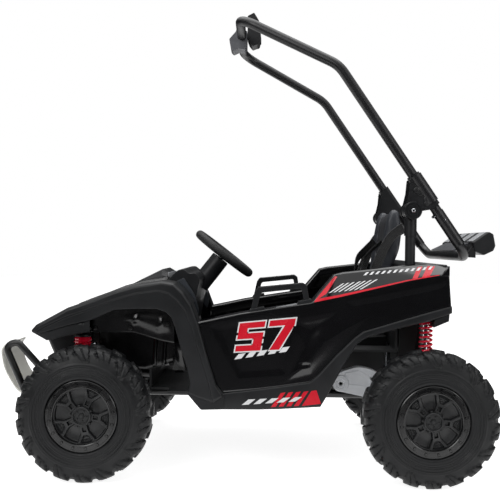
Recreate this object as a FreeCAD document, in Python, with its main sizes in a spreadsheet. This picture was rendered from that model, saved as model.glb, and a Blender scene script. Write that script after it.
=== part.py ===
import FreeCAD, Part
import math
import os
from types import SimpleNamespace

import Sketcher
from FreeCAD import Placement, Rotation, Vector

doc = FreeCAD.newDocument("ride_on_buggy")
sheet = doc.addObject("Spreadsheet::Sheet", "Sizes")

# The driving dimensions in millimetres. The nose points to -X, the vehicle's left side is -Y, the
# floor is Z = 0, and the origin lies under the middle of the whole vehicle. An inset is measured
# inwards from the overall width's side, and gives a half width of the same name.
sizes = {
    "wheelbase": 886,
    "bumper_reach": 306,
    "tail_reach": 208,
    "overall_width": 840,
    "shoulder_height": 545,
    "fit_gap": 0.3,
    "running_gap": 5,
    # wheels
    "tyre_diameter": 350,
    "tyre_width": 120,
    "lug_count": 18,
    "bead_diameter": 184,
    "rim_wall": 8,
    "rim_width": 104,
    "ring_inner_diameter": 142,
    "ring_thickness": 6,
    "spoke_thickness": 12,
    "spoke_depth": 14,
    "hub_diameter": 48,
    "hub_back": 30,
    "spoke_count": 5,
    "axle_diameter": 15,
    # body shells
    "shell_inset": 75,
    "panel_inset": 90,
    "shoulder_inset": 120,
    "cabin_inset": 158,
    "hood_inset": 206,
    "scoop_half_width": 122,
    "skin": 6,
    "trim_proud": 6,
    "floor_thickness": 6,
    # frame
    "frame_tube": 25,
    "frame_height": 198,
    "rail_bend": 60,
    "rail_inset": 270,
    # front end
    "kingpin_inset": 152,
    "kingpin_diameter": 14,
    "kingpin_low": 133,
    "kingpin_high": 326,
    "knuckle_width": 30,
    "yoke_plate": 8,
    "arm_tube": 18,
    "steer_arm": 60,
    "steer_arm_thickness": 8,
    "steer_pin": 9,
    "rod_diameter": 12,
    "rod_height": 160,
    "shock_diameter": 38,
    "front_spring_diameter": 48,
    "front_shock_top": 366,
    "front_shock_inset": 186,
    # steering
    "wheel_ring_diameter": 210,
    "wheel_grip": 24,
    "shaft_diameter": 16,
    "crank_reach": 29.7,
    "column_shroud": 56,
    "column_bore": 16.8,
    "crank_plate": 6,
    "crank_pin": 10,
    "crank_pin_length": 14,
    "fork_gap": 2,
    "fork_prong": 6,
    # rear end
    "trailing_arm_width": 38,
    "trailing_boss": 44,
    "trailing_arm_inset": 171,
    "rear_shock_top": 418,
    "rear_shock_body": 22,
    "gearbox_width": 66,
    # seat
    "seat_half_width": 165,
    "seat_back_half_width": 130,
    "strap_width": 38,
    "strap_thickness": 3,
    "strap_half_spacing": 75,
    "battery_length": 90,
    "battery_width": 150,
    "battery_height": 95,
    "pedal_width": 60,
    # handles
    "handle_inset": 107,
    "handle_width": 26,
    # bumper
    "hoop_inset": 200,
    "hoop_bend": 18,
    "hoop_tube": 19,
    "skid_inset": 319,
    "skid_thickness": 6,
    # roll cage
    "cage_tube": 27,
    "cage_front_inset": 197,
    "cage_elbow_inset": 142,
    "cage_rear_inset": 147,
    "cage_rear_bend": 55,
    "cage_elbow_bend": 90,
    "cage_front_bend": 60,
    "post_inset": 146,
    "post_sleeve": 33,
    "post_sleeve_length": 66,
    "hinge_diameter": 48,
    "hinge_length": 44,
    "cheek_thickness": 10,
    "hinge_pin": 10,
    "bracket_sleeve": 36,
    "bar_inset": 220,
    "plate_inset": 270,
    "plate_hole": 7,
    "plate_hole_spacing": 120,
    "lamp_width": 64,
    # lamps in the body
    "lamp_length": 80,
    "headlight_half_spacing": 150,
    "tail_light_inset": 230,
}
rows = {alias: str(value) for alias, value in sizes.items()}
for alias in sizes:
    if alias.endswith("_inset"):
        rows[alias.replace("_inset", "_half_width")] = f"=overall_width / 2 - {alias}"
for row, (alias, text) in enumerate(rows.items(), start=1):
    sheet.set(f"A{row}", alias.replace("_", " "))
    sheet.set(f"B{row}", text)
    sheet.setAlias(f"B{row}", alias)
doc.recompute()
cell = SimpleNamespace(**{alias: sheet.get(alias) for alias in rows})

half_base = cell.wheelbase / 2
middle_x = (cell.bumper_reach - cell.tail_reach) / 2
front_axle_x = middle_x - half_base
rear_axle_x = middle_x + half_base
axle_z = cell.tyre_diameter / 2
tyre_mid_y = (cell.overall_width - cell.tyre_width) / 2
rim_face_y = tyre_mid_y + cell.rim_width / 2 + cell.ring_thickness / 2
stub_end_y = rim_face_y - cell.spoke_depth - cell.spoke_thickness - cell.fit_gap
middle_text = "(Sizes.bumper_reach - Sizes.tail_reach) / 2"
along_y = Vector(0, 1, 0)
along_z = Vector(0, 0, 1)
subparts = []


def spot(x_share, z_share, y):
    """A point from shares of half the wheelbase and of the shoulder height, in side view."""
    return Vector(middle_x + x_share * half_base, y, z_share * cell.shoulder_height)


def keep(item, label):
    """Name a document object as a sub-part."""
    item.Label = label
    subparts.append(item)
    return item


def feature(label, shape):
    """A sub-part whose shape is worked out from the sheet."""
    item = doc.addObject("Part::Feature", label)
    item.Shape = shape
    return keep(item, label)


def outline_body(label, shares, inner, outer):
    """A pad of a side-view outline, from inner to outer, both expressions towards -Y."""
    body = doc.addObject("PartDesign::Body", label)
    plane = next(part for part in body.Origin.OriginFeatures if part.Role == "XZ_Plane")
    sketch = body.newObject("Sketcher::SketchObject", label + "_outline")
    sketch.AttachmentSupport = [(plane, "")]
    sketch.MapMode = "FlatFace"
    corners = []
    for x_share, z_share in shares:
        point = spot(x_share, z_share, 0)
        corners.append(Vector(point.x, point.z, 0))
    edges = [Part.LineSegment(a, b) for a, b in zip(corners, corners[1:] + corners[:1])]
    sketch.addGeometry(edges, False)
    for index, (x_share, z_share) in enumerate(shares):
        following = (index + 1) % len(shares)
        sketch.addConstraint(Sketcher.Constraint("Coincident", index, 2, following, 1))
        corner = corners[index]
        level = sketch.addConstraint(Sketcher.Constraint("DistanceX", -1, 1, index, 1, corner.x))
        sketch.setExpression(f"Constraints[{level}]", f"{middle_text} + {x_share} * Sizes.wheelbase / 2")
        upright = sketch.addConstraint(Sketcher.Constraint("DistanceY", -1, 1, index, 1, corner.y))
        sketch.setExpression(f"Constraints[{upright}]", f"{z_share} * Sizes.shoulder_height")
    sketch.setExpression("AttachmentOffset.Base.z", inner)
    pad = body.newObject("PartDesign::Pad", label + "_pad")
    pad.Profile = sketch
    pad.setExpression("Length", f"({outer}) - ({inner})")
    return keep(body, label)


def mirror_body(source, label):
    """The same piece on the vehicle's other side."""
    item = doc.addObject("Part::Mirroring", label)
    item.Source = source
    item.Normal = along_y
    return keep(item, label)


def prism(shares, y_from, y_to):
    """A side-view outline as a solid between two distances across the vehicle."""
    corners = [spot(x_share, z_share, y_from) for x_share, z_share in shares]
    face = Part.Face(Part.makePolygon(corners, True))
    return face.extrude(Vector(0, y_to - y_from, 0))


def across(shape):
    """A shape and its mirror image on the vehicle's other side, as one."""
    return Part.makeCompound([shape, shape.mirror(Vector(), along_y)])


def rod(start, end, radius):
    """A round bar from one point to another."""
    return Part.makeCylinder(radius, start.distanceToPoint(end), start, end - start)


def bent_tube(points, bend_radii, radius):
    """A round tube through points, with a tangent arc of its own radius at each inner one."""
    edges = []
    start = points[0]
    for before, corner, after, bend in zip(points, points[1:], points[2:], bend_radii):
        to_before = (before - corner).normalize()
        to_after = (after - corner).normalize()
        half_turn = (math.pi - to_before.getAngle(to_after)) / 2
        reach = bend * math.tan(half_turn)
        arc_start = corner + to_before * reach
        arc_end = corner + to_after * reach
        inward = (to_before + to_after).normalize()
        arc_middle = corner + inward * (bend / math.cos(half_turn) - bend)
        edges.append(Part.LineSegment(start, arc_start).toShape())
        edges.append(Part.Arc(arc_start, arc_middle, arc_end).toShape())
        start = arc_end
    edges.append(Part.LineSegment(start, points[-1]).toShape())
    path = Part.Wire(edges)
    section = Part.Wire(Part.makeCircle(radius, points[0], points[1] - points[0]))
    return path.makePipeShell([section], True, False)


def ring(outer_radius, inner_radius, start, depth, direction):
    """A round ring from a point, as thick as depth along a direction."""
    outer = Part.makeCylinder(outer_radius, depth, start, direction)
    return outer.cut(Part.makeCylinder(inner_radius, depth, start, direction))


# Wheels: a lugged tyre on a black rim with five wide openings, a bead ring and a hub cap
tyre_profile_shares = [(0.526, -0.46), (0.6, -0.5), (0.74, -0.5), (0.86, -0.46), (0.955, -0.34),
                       (0.965, 0), (0.955, 0.34), (0.86, 0.46), (0.74, 0.5), (0.6, 0.5), (0.526, 0.46)]
lug_outline_shares = [(0.80, 0.49), (0.86, 0.5), (0.97, 0.44), (1, 0.3), (1, 0.08), (0.9, 0.06), (0.8, 0.2)]
lug_span_share = 0.55


def tyre_shape():
    """Turned carcass with a row of lugs on each half of the tread, set half a step apart."""
    outer = cell.tyre_diameter / 2
    profile = [Vector(outer * radius, cell.tyre_width * side, 0) for radius, side in tyre_profile_shares]
    carcass = Part.Face(Part.makePolygon(profile, True)).revolve(Vector(), along_y, 360)
    step = 360 / cell.lug_count
    corners = [Vector(outer * radius, cell.tyre_width * side, 0) for radius, side in lug_outline_shares]
    lug = Part.Face(Part.makePolygon(corners, True)).revolve(Vector(), along_y, step * lug_span_share)
    other_lug = lug.mirror(Vector(), along_y)
    lugs = []
    for index in range(cell.lug_count):
        near = lug.copy()
        near.rotate(Vector(), along_y, step * index)
        far = other_lug.copy()
        far.rotate(Vector(), along_y, step * index + step / 2)
        lugs.extend([near, far])
    return carcass.fuse(lugs)


window_shares = [(0.36, -0.13), (0.7, -0.27), (0.82, -0.22), (0.84, 0), (0.82, 0.22), (0.7, 0.27),
                 (0.36, 0.13)]


def rim_shape():
    """Barrel, bead ring on the outer face (towards -Y), spoked disc and hub."""
    bead = cell.bead_diameter / 2 - cell.fit_gap
    half = cell.rim_width / 2
    face_y = -half - cell.ring_thickness / 2
    barrel = ring(bead, bead - cell.rim_wall, Vector(0, -half, 0), cell.rim_width, along_y)
    bead_ring = ring(bead, cell.ring_inner_diameter / 2, Vector(0, face_y, 0), cell.ring_thickness, along_y)
    disc_y = face_y + cell.spoke_depth
    disc = Part.makeCylinder(bead - cell.rim_wall / 2, cell.spoke_thickness, Vector(0, disc_y, 0), along_y)
    for index in range(cell.spoke_count):
        corners = [Vector(bead * radius, disc_y, bead * side) for radius, side in window_shares]
        window = Part.Face(Part.makePolygon(corners, True)).extrude(along_y * cell.spoke_thickness)
        window.rotate(Vector(), along_y, 360 * index / cell.spoke_count)
        disc = disc.cut(window)
    hub_y = face_y - cell.ring_thickness / 2
    hub = Part.makeCylinder(cell.hub_diameter / 2, half + cell.hub_back, Vector(0, hub_y, 0), along_y)
    bore = Part.makeCylinder(cell.axle_diameter / 2 + cell.fit_gap, cell.rim_width + half,
                             Vector(0, disc_y + cell.spoke_thickness, 0), along_y)
    return barrel.fuse([bead_ring, disc, hub]).cut(bore)


rim = rim_shape()
tyre = tyre_shape()
for end, axle_x in (("front", front_axle_x), ("rear", rear_axle_x)):
    for side, sign in (("left", -1), ("right", 1)):
        turn = Rotation(along_z, 0 if sign < 0 else 180)
        spot_on_axle = Placement(Vector(axle_x, sign * tyre_mid_y, axle_z), turn)
        feature(f"tyre_{end}_{side}", tyre).Placement = spot_on_axle
        feature(f"rim_{end}_{side}", rim).Placement = spot_on_axle

# Side panels: gloss shells beside the cabin, from the door sill to the crest over the rear wheel
sill_line_shares = [(-0.203, 0.409), (0.126, 0.444), (0.309, 0.468), (0.366, 0.51), (0.463, 0.6),
                    (0.569, 0.684), (0.607, 0.712), (0.918, 0.79), (1.133, 0.843)]
side_top_shares = [(1.124, 0.876), (1.118, 0.923), (1.118, 1.035), (1.067, 0.991), (1.0, 0.984),
                   (0.869, 0.96), (0.672, 0.919), (0.479, 0.88), (0.309, 0.85), (-0.108, 0.793),
                   (-0.359, 0.745), (-0.307, 0.598), (-0.255, 0.462), (-0.235, 0.417)]
side_left = outline_body("side_panel_left", sill_line_shares + side_top_shares,
                         "Sizes.cabin_half_width", "Sizes.panel_half_width")
mirror_body(side_left, "side_panel_right")

# Shoulders: the sloping faces above the crest, from the side panel in to the rear deck
crest_shares = [(0.309, 0.85), (0.479, 0.88), (0.672, 0.919), (0.869, 0.96), (1.0, 0.984), (1.067, 0.991)]
shoulder_top_shares = [(0.449, 0.992), (0.56, 1.002), (0.7, 1.016), (0.869, 1.036), (0.995, 1.051),
                       (1.118, 1.04)]


def shoulder_shape():
    """A roof between the crest line outside and the shoulder line inside."""
    sections = []
    for (foot_x, foot_z), (top_x, top_z) in zip(crest_shares, shoulder_top_shares):
        corners = [spot(foot_x, foot_z, -cell.panel_half_width), spot(top_x, top_z, -cell.shoulder_half_width),
                   spot(top_x, top_z, -cell.cabin_half_width), spot(foot_x, foot_z, -cell.cabin_half_width)]
        sections.append(Part.makePolygon(corners, True))
    return Part.makeLoft(sections, True, True)


shoulder_left = feature("shoulder_left", shoulder_shape())
mirror_body(shoulder_left, "shoulder_right")

# Sill trim: matt band below the side panel that sweeps up over the rear tyre
sill_foot_shares = [(1.133, 0.8145), (1.124, 0.8115), (1.12, 0.773), (1.068, 0.755), (1.064, 0.7922),
                    (0.777, 0.727), (0.637, 0.692), (0.582, 0.664), (0.535, 0.6), (0.483, 0.528),
                    (0.418, 0.424), (0.37, 0.357), (0.1, 0.343), (-0.33, 0.336)]
trim_left = outline_body("sill_trim_left", sill_line_shares + sill_foot_shares,
                         "Sizes.cabin_half_width", "Sizes.panel_half_width + Sizes.trim_proud")
mirror_body(trim_left, "sill_trim_right")

# Front fenders: a top skin, an outer skirt round the arch and a leg down to the sill
fender_top_shares = [(-1.333, 0.7), (-1.315, 0.723), (-1.14, 0.803), (-1.018, 0.843), (-0.875, 0.888),
                     (-0.806, 0.908), (-0.695, 0.929), (-0.574, 0.943), (-0.489, 0.931), (-0.387, 0.824),
                     (-0.359, 0.745)]
fender_back_shares = [(-0.307, 0.598), (-0.255, 0.462), (-0.235, 0.417), (-0.203, 0.409), (-0.33, 0.336)]
arch_shares = [(-0.413, 0.413), (-0.395, 0.461), (-0.418, 0.534), (-0.46, 0.64), (-0.497, 0.747)]
arch_front_shares = [(-0.528, 0.793), (-0.603, 0.818), (-0.752, 0.817), (-0.989, 0.802), (-1.14, 0.762),
                     (-1.33, 0.675)]


def lowered(shares, drop):
    """The same line, lower by a distance."""
    return [(x_share, z_share - drop / cell.shoulder_height) for x_share, z_share in shares]


def fender_shape():
    """Skirt, top skin and leg as one moulding."""
    skirt_y = -cell.shell_half_width
    inner_y = skirt_y + cell.skin
    skirt = prism(fender_top_shares + fender_back_shares + arch_shares + arch_front_shares, skirt_y, inner_y)
    under = lowered(fender_top_shares, cell.skin)
    top = prism(fender_top_shares + under[::-1], inner_y, -cell.hood_half_width)
    leg_outline = fender_top_shares[-2:] + fender_back_shares + arch_shares
    leg = prism(leg_outline, inner_y, -cell.cabin_half_width)
    return skirt.fuse([top, leg])


fender_left = feature("front_fender_left", fender_shape())
mirror_body(fender_left, "front_fender_right")

# Hood: a skin between the fenders with a raised scoop in the middle
scoop_shares = [(-0.885, 0.885), (-0.634, 0.994), (-0.596, 0.974), (-0.6, 0.939)]


def hood_shape():
    """Hood skin and scoop."""
    line = fender_top_shares[:8]
    skin = prism(line + lowered(line, cell.skin)[::-1], -cell.hood_half_width, cell.hood_half_width)
    return skin.fuse(prism(scoop_shares, -cell.scoop_half_width, cell.scoop_half_width))


feature("hood", hood_shape())

# Nose: closed moulding under the front of the hood, with a narrower chin between the tyres
nose_foot_shares = [(-0.989, 0.7), (-1.02, 0.695), (-1.248, 0.655)]
chin_shares = [(-1.248, 0.655), (-1.254, 0.62), (-1.29, 0.612), (-1.262, 0.57), (-1.231, 0.5257),
               (-1.13, 0.52), (-1.125, 0.685)]


def nose_shape():
    """Wedge across the vehicle under the skins, and the chin."""
    cheek_y = cell.shell_half_width - cell.skin
    top = lowered(fender_top_shares[:4], cell.skin)
    wedge = prism(top + [(-0.989, top[-1][1])] + nose_foot_shares, -cheek_y, cheek_y)
    return wedge.fuse(prism(chin_shares, -cell.hood_half_width, cell.hood_half_width))


# Inner fender panels: dark upright walls beside the hood, and the recessed faces over the tyres
under_top_shares = [(-0.989, 0.84)] + lowered(fender_top_shares[4:8], cell.skin)
inner_wall_shares = under_top_shares + [(-0.5, 0.92), (-0.5, 0.53), (-0.7, 0.49), (-0.989, 0.5)]
recess_shares = under_top_shares + [(-0.5, 0.9), (-0.52, 0.73), (-0.75, 0.715), (-0.989, 0.7)]
foot_wall_shares = [(-0.52, 0.5), (-0.52, 0.73), (-0.45, 0.74), (-0.4, 0.5)]


def liner_shape():
    """Walls at the hood's edges, recessed faces further out, and a wall beside the footwell."""
    wall = prism(inner_wall_shares, -cell.hood_half_width, cell.skin - cell.hood_half_width)
    recess_y = -cell.shoulder_half_width
    recess = prism(recess_shares, recess_y, recess_y + cell.skin)
    foot_wall_y = -cell.cabin_half_width
    foot_wall = prism(foot_wall_shares, foot_wall_y, foot_wall_y + cell.skin)
    return across(Part.makeCompound([wall, recess, foot_wall]))


feature("front_liner", liner_shape())

# Steering axis: from the wheel's centre down towards the nose, past the track rod by the crank's reach
wheel_centre_shares = (-0.2415, 1.077)
wheel_centre = spot(*wheel_centre_shares, 0)
rod_point = Vector(front_axle_x + cell.steer_arm, 0, cell.rod_height)
pin_to_rod = cell.crank_pin / 2 + cell.fit_gap + cell.rod_diameter / 2
rod_way = rod_point - wheel_centre
lean = math.atan2(-rod_way.x, -rod_way.z) + math.asin((cell.crank_reach + pin_to_rod) / rod_way.Length)
shaft_down = Vector(-math.sin(lean), 0, -math.cos(lean))
shaft_back = Vector(math.cos(lean), 0, -math.sin(lean))
shroud_start_share = 0.17
shroud_end_share = 1.15
shroud_start = wheel_centre + shaft_down * (cell.wheel_ring_diameter / 2 * shroud_start_share)
shroud_end = wheel_centre + shaft_down * (cell.wheel_ring_diameter / 2 * shroud_end_share)

# Dashboard: a moulded cowl behind the hood that the steering column comes out of
dash_shares = [(-0.5735, 0.943), (-0.508, 0.996), (-0.47, 0.998), (-0.438, 0.976), (-0.4, 0.982),
               (-0.37, 0.95), (-0.43, 0.7), (-0.47, 0.7), (-0.5, 0.9), (-0.5735, 0.933)]
dash_half_share = 0.95


def dash_shape():
    """Cowl with the column's opening."""
    half = cell.hood_half_width * dash_half_share
    opening = Part.makeCylinder(cell.column_shroud / 2, cell.wheel_ring_diameter, shroud_start, shaft_down)
    return prism(dash_shares, -half, half).cut(opening)


feature("dashboard", dash_shape())
column = rod(shroud_start, shroud_end, cell.column_shroud / 2)
column_hole = rod(shroud_start, shroud_end, cell.column_bore / 2)
feature("steering_column", column.cut(column_hole))

# Cabin tub: floor, footwell wall, a step up under the seat, and the wall behind it
frame_top = cell.frame_height + cell.frame_tube / 2
floor_top = frame_top + cell.floor_thickness
tub_front_share = -0.677
tub_wide_share = -0.55
tub_front_top_share = 0.72
tub_step_share = 0.406
tub_shelf_share = 0.606
tub_back_share = 0.83
tub_back_top_share = 0.97


def tub_shape():
    """One sheet of plastic along a stepped line, with a hole for the steering shaft."""
    front = Vector(middle_x + tub_front_share * half_base, 0, tub_front_top_share * cell.shoulder_height)
    step_x = middle_x + tub_step_share * half_base
    back_x = middle_x + tub_back_share * half_base
    shelf_z = tub_shelf_share * cell.shoulder_height
    top_z = tub_back_top_share * cell.shoulder_height
    width = 2 * cell.cabin_half_width
    y = -cell.cabin_half_width
    wall = cell.skin
    wide_x = middle_x + tub_wide_share * half_base
    floor = Part.makeBox(step_x + wall - wide_x, width, cell.floor_thickness, Vector(wide_x, y, frame_top))
    upright_half = cell.hood_half_width - wall
    toe_corner = Vector(front.x, -upright_half, frame_top)
    toe = Part.makeBox(wide_x + wall - front.x, 2 * upright_half, cell.floor_thickness, toe_corner)
    upright = Part.makeBox(wall, 2 * upright_half, front.z - frame_top, toe_corner)
    step = Part.makeBox(wall, width, shelf_z + wall - frame_top, Vector(step_x, y, frame_top))
    shelf = Part.makeBox(back_x + wall - step_x, width, wall, Vector(step_x, y, shelf_z))
    back = Part.makeBox(wall, width, top_z - shelf_z, Vector(back_x, y, shelf_z))
    hole_radius = cell.column_bore / 2 + cell.running_gap
    hole = Part.makeCylinder(hole_radius, cell.wheelbase, wheel_centre, shaft_down)
    return floor.fuse([toe, upright, step, shelf, back]).cut(hole)


feature("floor_tub", tub_shape())

# Rear deck: cover behind the seat with the tail wall down behind it
deck_shares = [(0.87, 1.0366), (0.995, 1.051), (1.112, 1.039), (1.122, 0.861), (1.118, 0.769),
               (1.102, 0.769), (1.107, 0.861), (1.097, 1.023), (0.995, 1.036), (0.87, 1.0216)]
rear_deck = outline_body("rear_deck", deck_shares, "-Sizes.cabin_half_width", "Sizes.cabin_half_width")

# Inner rear box: closed dark moulding between the rear wheels, under the deck
rear_box_shares = [(0.87, 1.0211), (0.985, 1.0344), (0.985, 0.7), (0.96, 0.56), (0.87, 0.5316)]
outline_body("rear_box", rear_box_shares, "-Sizes.hood_half_width", "Sizes.hood_half_width")

# Seat: a hollow moulded base on the floor and the step, with a padded cushion and backrest
shelf_top_share = tub_shelf_share + cell.skin / cell.shoulder_height
floor_share = floor_top / cell.shoulder_height
seat_front_share = 0.13
seat_base_top_shares = [(seat_front_share, 0.62), (0.81, 0.666)]
seat_hollow_front_share = 0.15
seat_hollow_back_share = 0.385
seat_hollow_top_share = 0.6
cushion_shares = [(0.15, 0.6222), (0.14, 0.69), (0.2, 0.715), (0.67, 0.71), (0.69, 0.6587)]
seat_back_shares = [(0.7, 0.6594), (0.715, 0.75), (0.785, 1.0), (0.803, 1.187), (0.818, 1.3),
                    (0.85, 1.338), (0.9, 1.33), (0.92, 1.232), (0.905, 1.12), (0.86, 1.035),
                    (0.826, 0.98), (0.805, 0.6665)]


def seat_base_shape():
    """Moulding with a hollow from below for the battery."""
    step_back = (tub_step_share, shelf_top_share)
    outline = [(seat_front_share, floor_share)] + seat_base_top_shares
    outline += [(seat_base_top_shares[-1][0], shelf_top_share), step_back, (tub_step_share, floor_share)]
    base = prism(outline, -cell.seat_half_width, cell.seat_half_width)
    low = spot(seat_hollow_front_share, floor_share, cell.skin - cell.seat_half_width)
    high = spot(seat_hollow_back_share, seat_hollow_top_share, cell.seat_half_width - cell.skin)
    return base.cut(Part.makeBox(high.x - low.x, high.y - low.y, high.z - low.z, low))


feature("seat_base", seat_base_shape())
feature("seat_cushion", prism(cushion_shares, -cell.seat_half_width, cell.seat_half_width))
feature("seat_back", prism(seat_back_shares, -cell.seat_back_half_width, cell.seat_back_half_width))

# Harness: flat webbing, one strap beside the backrest and one that bows forward over it
side_strap_shares = [(0.912, 1.211), (0.865, 1.165), (0.834, 1.13), (0.811, 1.083), (0.787, 1.031),
                     (0.74, 1.0), (0.73, 0.93), (0.69, 0.93), (0.716, 1.007), (0.731, 1.063),
                     (0.754, 1.109), (0.778, 1.154), (0.832, 1.21), (0.883, 1.233), (0.912, 1.234)]
front_strap_shares = [(0.7985, 1.167), (0.745, 1.125), (0.68, 1.078), (0.664, 1.01), (0.662, 0.93),
                      (0.67, 0.93), (0.672, 1.01), (0.688, 1.073), (0.75, 1.118), (0.7985, 1.15)]


def harness_shape():
    """One ribbon on edge at each side and one flat ribbon at each shoulder."""
    side_y = -cell.seat_back_half_width - cell.fit_gap
    side = prism(side_strap_shares, side_y - cell.strap_thickness, side_y)
    front_y = -cell.strap_half_spacing
    front = prism(front_strap_shares, front_y - cell.strap_width / 2, front_y + cell.strap_width / 2)
    return across(Part.makeCompound([side, front]))


feature("harness_straps", harness_shape())

# Grab handles on the door sills
handle_outer_shares = [(-0.05, 0.801), (-0.022, 0.904), (0.0, 0.925), (0.268, 0.946), (0.303, 0.8493)]
handle_inner_shares = [(0.02, 0.861), (0.038, 0.875), (0.256, 0.907), (0.263, 0.867)]


def handle_shape():
    """A trapezoid loop that stands on the panel's top edge."""
    outer_y = -cell.handle_half_width - cell.handle_width / 2
    inner_y = outer_y + cell.handle_width
    return prism(handle_outer_shares, outer_y, inner_y).cut(prism(handle_inner_shares, outer_y, inner_y))


handle_left = feature("grab_handle_left", handle_shape())
mirror_body(handle_left, "grab_handle_right")

# Chassis: two bent side rails, cross tubes and the spring towers
frame_share = cell.frame_height / cell.shoulder_height
rail_shares = [(-1.27, 0.45), (-0.98, 0.38), (-0.72, frame_share), (0.74, frame_share), (1.0, 0.47),
               (1.06, 0.62)]
rail_bend_radii = [cell.rail_bend] * (len(rail_shares) - 2)
tube_radius = cell.frame_tube / 2
front_tower_share = -1.083
rear_tower_share = 1.02
arm_pivot_x_share = 0.503
arm_pivot_z_share = 0.449
pivot_plate_shares = [(0.42, frame_share), (0.59, frame_share), (0.54, 0.5), (0.47, 0.5)]


def chassis_shape():
    """Welded tubes of one size."""
    rail = bent_tube([spot(x, z, -cell.rail_half_width) for x, z in rail_shares], rail_bend_radii, tube_radius)
    tubes = [rail, rail.mirror(Vector(), along_y)]
    for x_share, z_share in (rail_shares[2], rail_shares[3], rail_shares[-1]):
        start = spot(x_share, z_share, -cell.rail_half_width)
        tubes.append(rod(start, Vector(start.x, -start.y, start.z), tube_radius))
    towers = ((front_tower_share, rail_shares[1][1], cell.front_shock_top, cell.front_shock_half_width),
              (rear_tower_share, rail_shares[4][1], cell.rear_shock_top, cell.trailing_arm_half_width))
    for x_share, z_share, top_z, shock_half_width in towers:
        top = Vector(spot(x_share, 0, 0).x, -shock_half_width - tube_radius, top_z + tube_radius)
        tubes.append(rod(top, Vector(top.x, -top.y, top.z), tube_radius))
        for sign in (-1, 1):
            foot = spot(x_share, z_share, sign * cell.rail_half_width)
            tubes.append(rod(foot, Vector(foot.x, foot.y, top.z), tube_radius))
    pivot_end = cell.trailing_arm_half_width + cell.trailing_arm_width / 2
    pivot_start = spot(arm_pivot_x_share, arm_pivot_z_share, -pivot_end)
    tubes.append(rod(pivot_start, pivot_start + along_y * (2 * pivot_end), cell.shaft_diameter / 2))
    for sign in (-1, 1):
        plate_y = sign * cell.rail_half_width - cell.yoke_plate / 2
        tubes.append(prism(pivot_plate_shares, plate_y, plate_y + cell.yoke_plate))
    return tubes[0].fuse(tubes[1:])


chassis = feature("chassis_frame", chassis_shape())
feature("nose_panel", nose_shape().cut(chassis.Shape))

# Bumper: two tube hoops joined by cross tubes, with a curved skid plate between them
hoop_shares = [(-1.426, 0.33), (-1.575, 0.5997), (-1.497, 0.6194), (-1.372, 0.51), (-1.27, 0.45)]
hoop_bend_radii = [cell.hoop_bend] * (len(hoop_shares) - 2)
skid_shares = [(-1.67, 0.575), (-1.69, 0.548), (-1.685, 0.507), (-1.671, 0.461), (-1.635, 0.389),
               (-1.564, 0.321), (-1.44, 0.2955), (-1.38, 0.2915)]


def bumper_shape():
    """Hoops and the two tubes across them."""
    line = [spot(x, z, -cell.hoop_half_width) for x, z in hoop_shares]
    hoop = bent_tube(line, hoop_bend_radii, cell.hoop_tube / 2)
    tubes = [hoop, hoop.mirror(Vector(), along_y)]
    for x_share, z_share in (hoop_shares[0], hoop_shares[-1]):
        start = spot(x_share, z_share, -cell.hoop_half_width)
        tubes.append(rod(start, Vector(start.x, -start.y, start.z), tube_radius))
    return tubes[0].fuse(tubes[1:])


bumper = bumper_shape()
feature("bumper_hoops", bumper.cut(chassis.Shape))


def skid_shape():
    """A plate of one thickness along a bent line."""
    corners = [spot(x, z, -cell.skid_half_width) for x, z in skid_shares]
    inner = []
    for before, corner, after in zip([corners[0]] + corners, corners, corners[1:] + [corners[-1]]):
        run = after - before
        inner.append(corner + Vector(-run.z, 0, run.x).normalize() * cell.skid_thickness)
    face = Part.Face(Part.makePolygon(corners + inner[::-1], True))
    return face.extrude(along_y * (2 * cell.skid_half_width))


feature("bumper_plate", skid_shape())

# Lamps in the nose and the tail
headlight_shares = [(-1.325, 0.6855), (-1.256, 0.6579), (-1.262, 0.625), (-1.325, 0.655)]
tail_light_shares = [(1.1225, 0.861), (1.1157, 0.98), (1.137, 0.97), (1.142, 0.861)]


def lamp_pair(shares, half_spacing):
    """One lamp on each side of the middle."""
    return across(prism(shares, -half_spacing - cell.lamp_length / 2, -half_spacing + cell.lamp_length / 2))


feature("headlights", lamp_pair(headlight_shares, cell.headlight_half_spacing))
feature("tail_lights", lamp_pair(tail_light_shares, cell.tail_light_half_width))

# Front suspension: one tubular arm a side with a yoke for the kingpin at its outer end
knuckle_height = cell.kingpin_high - cell.kingpin_low
arm_root_shares = [(-1.14, 0.4186), (-0.86, 0.3723)]
front_tower_x = spot(front_tower_share, 0, 0).x


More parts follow.
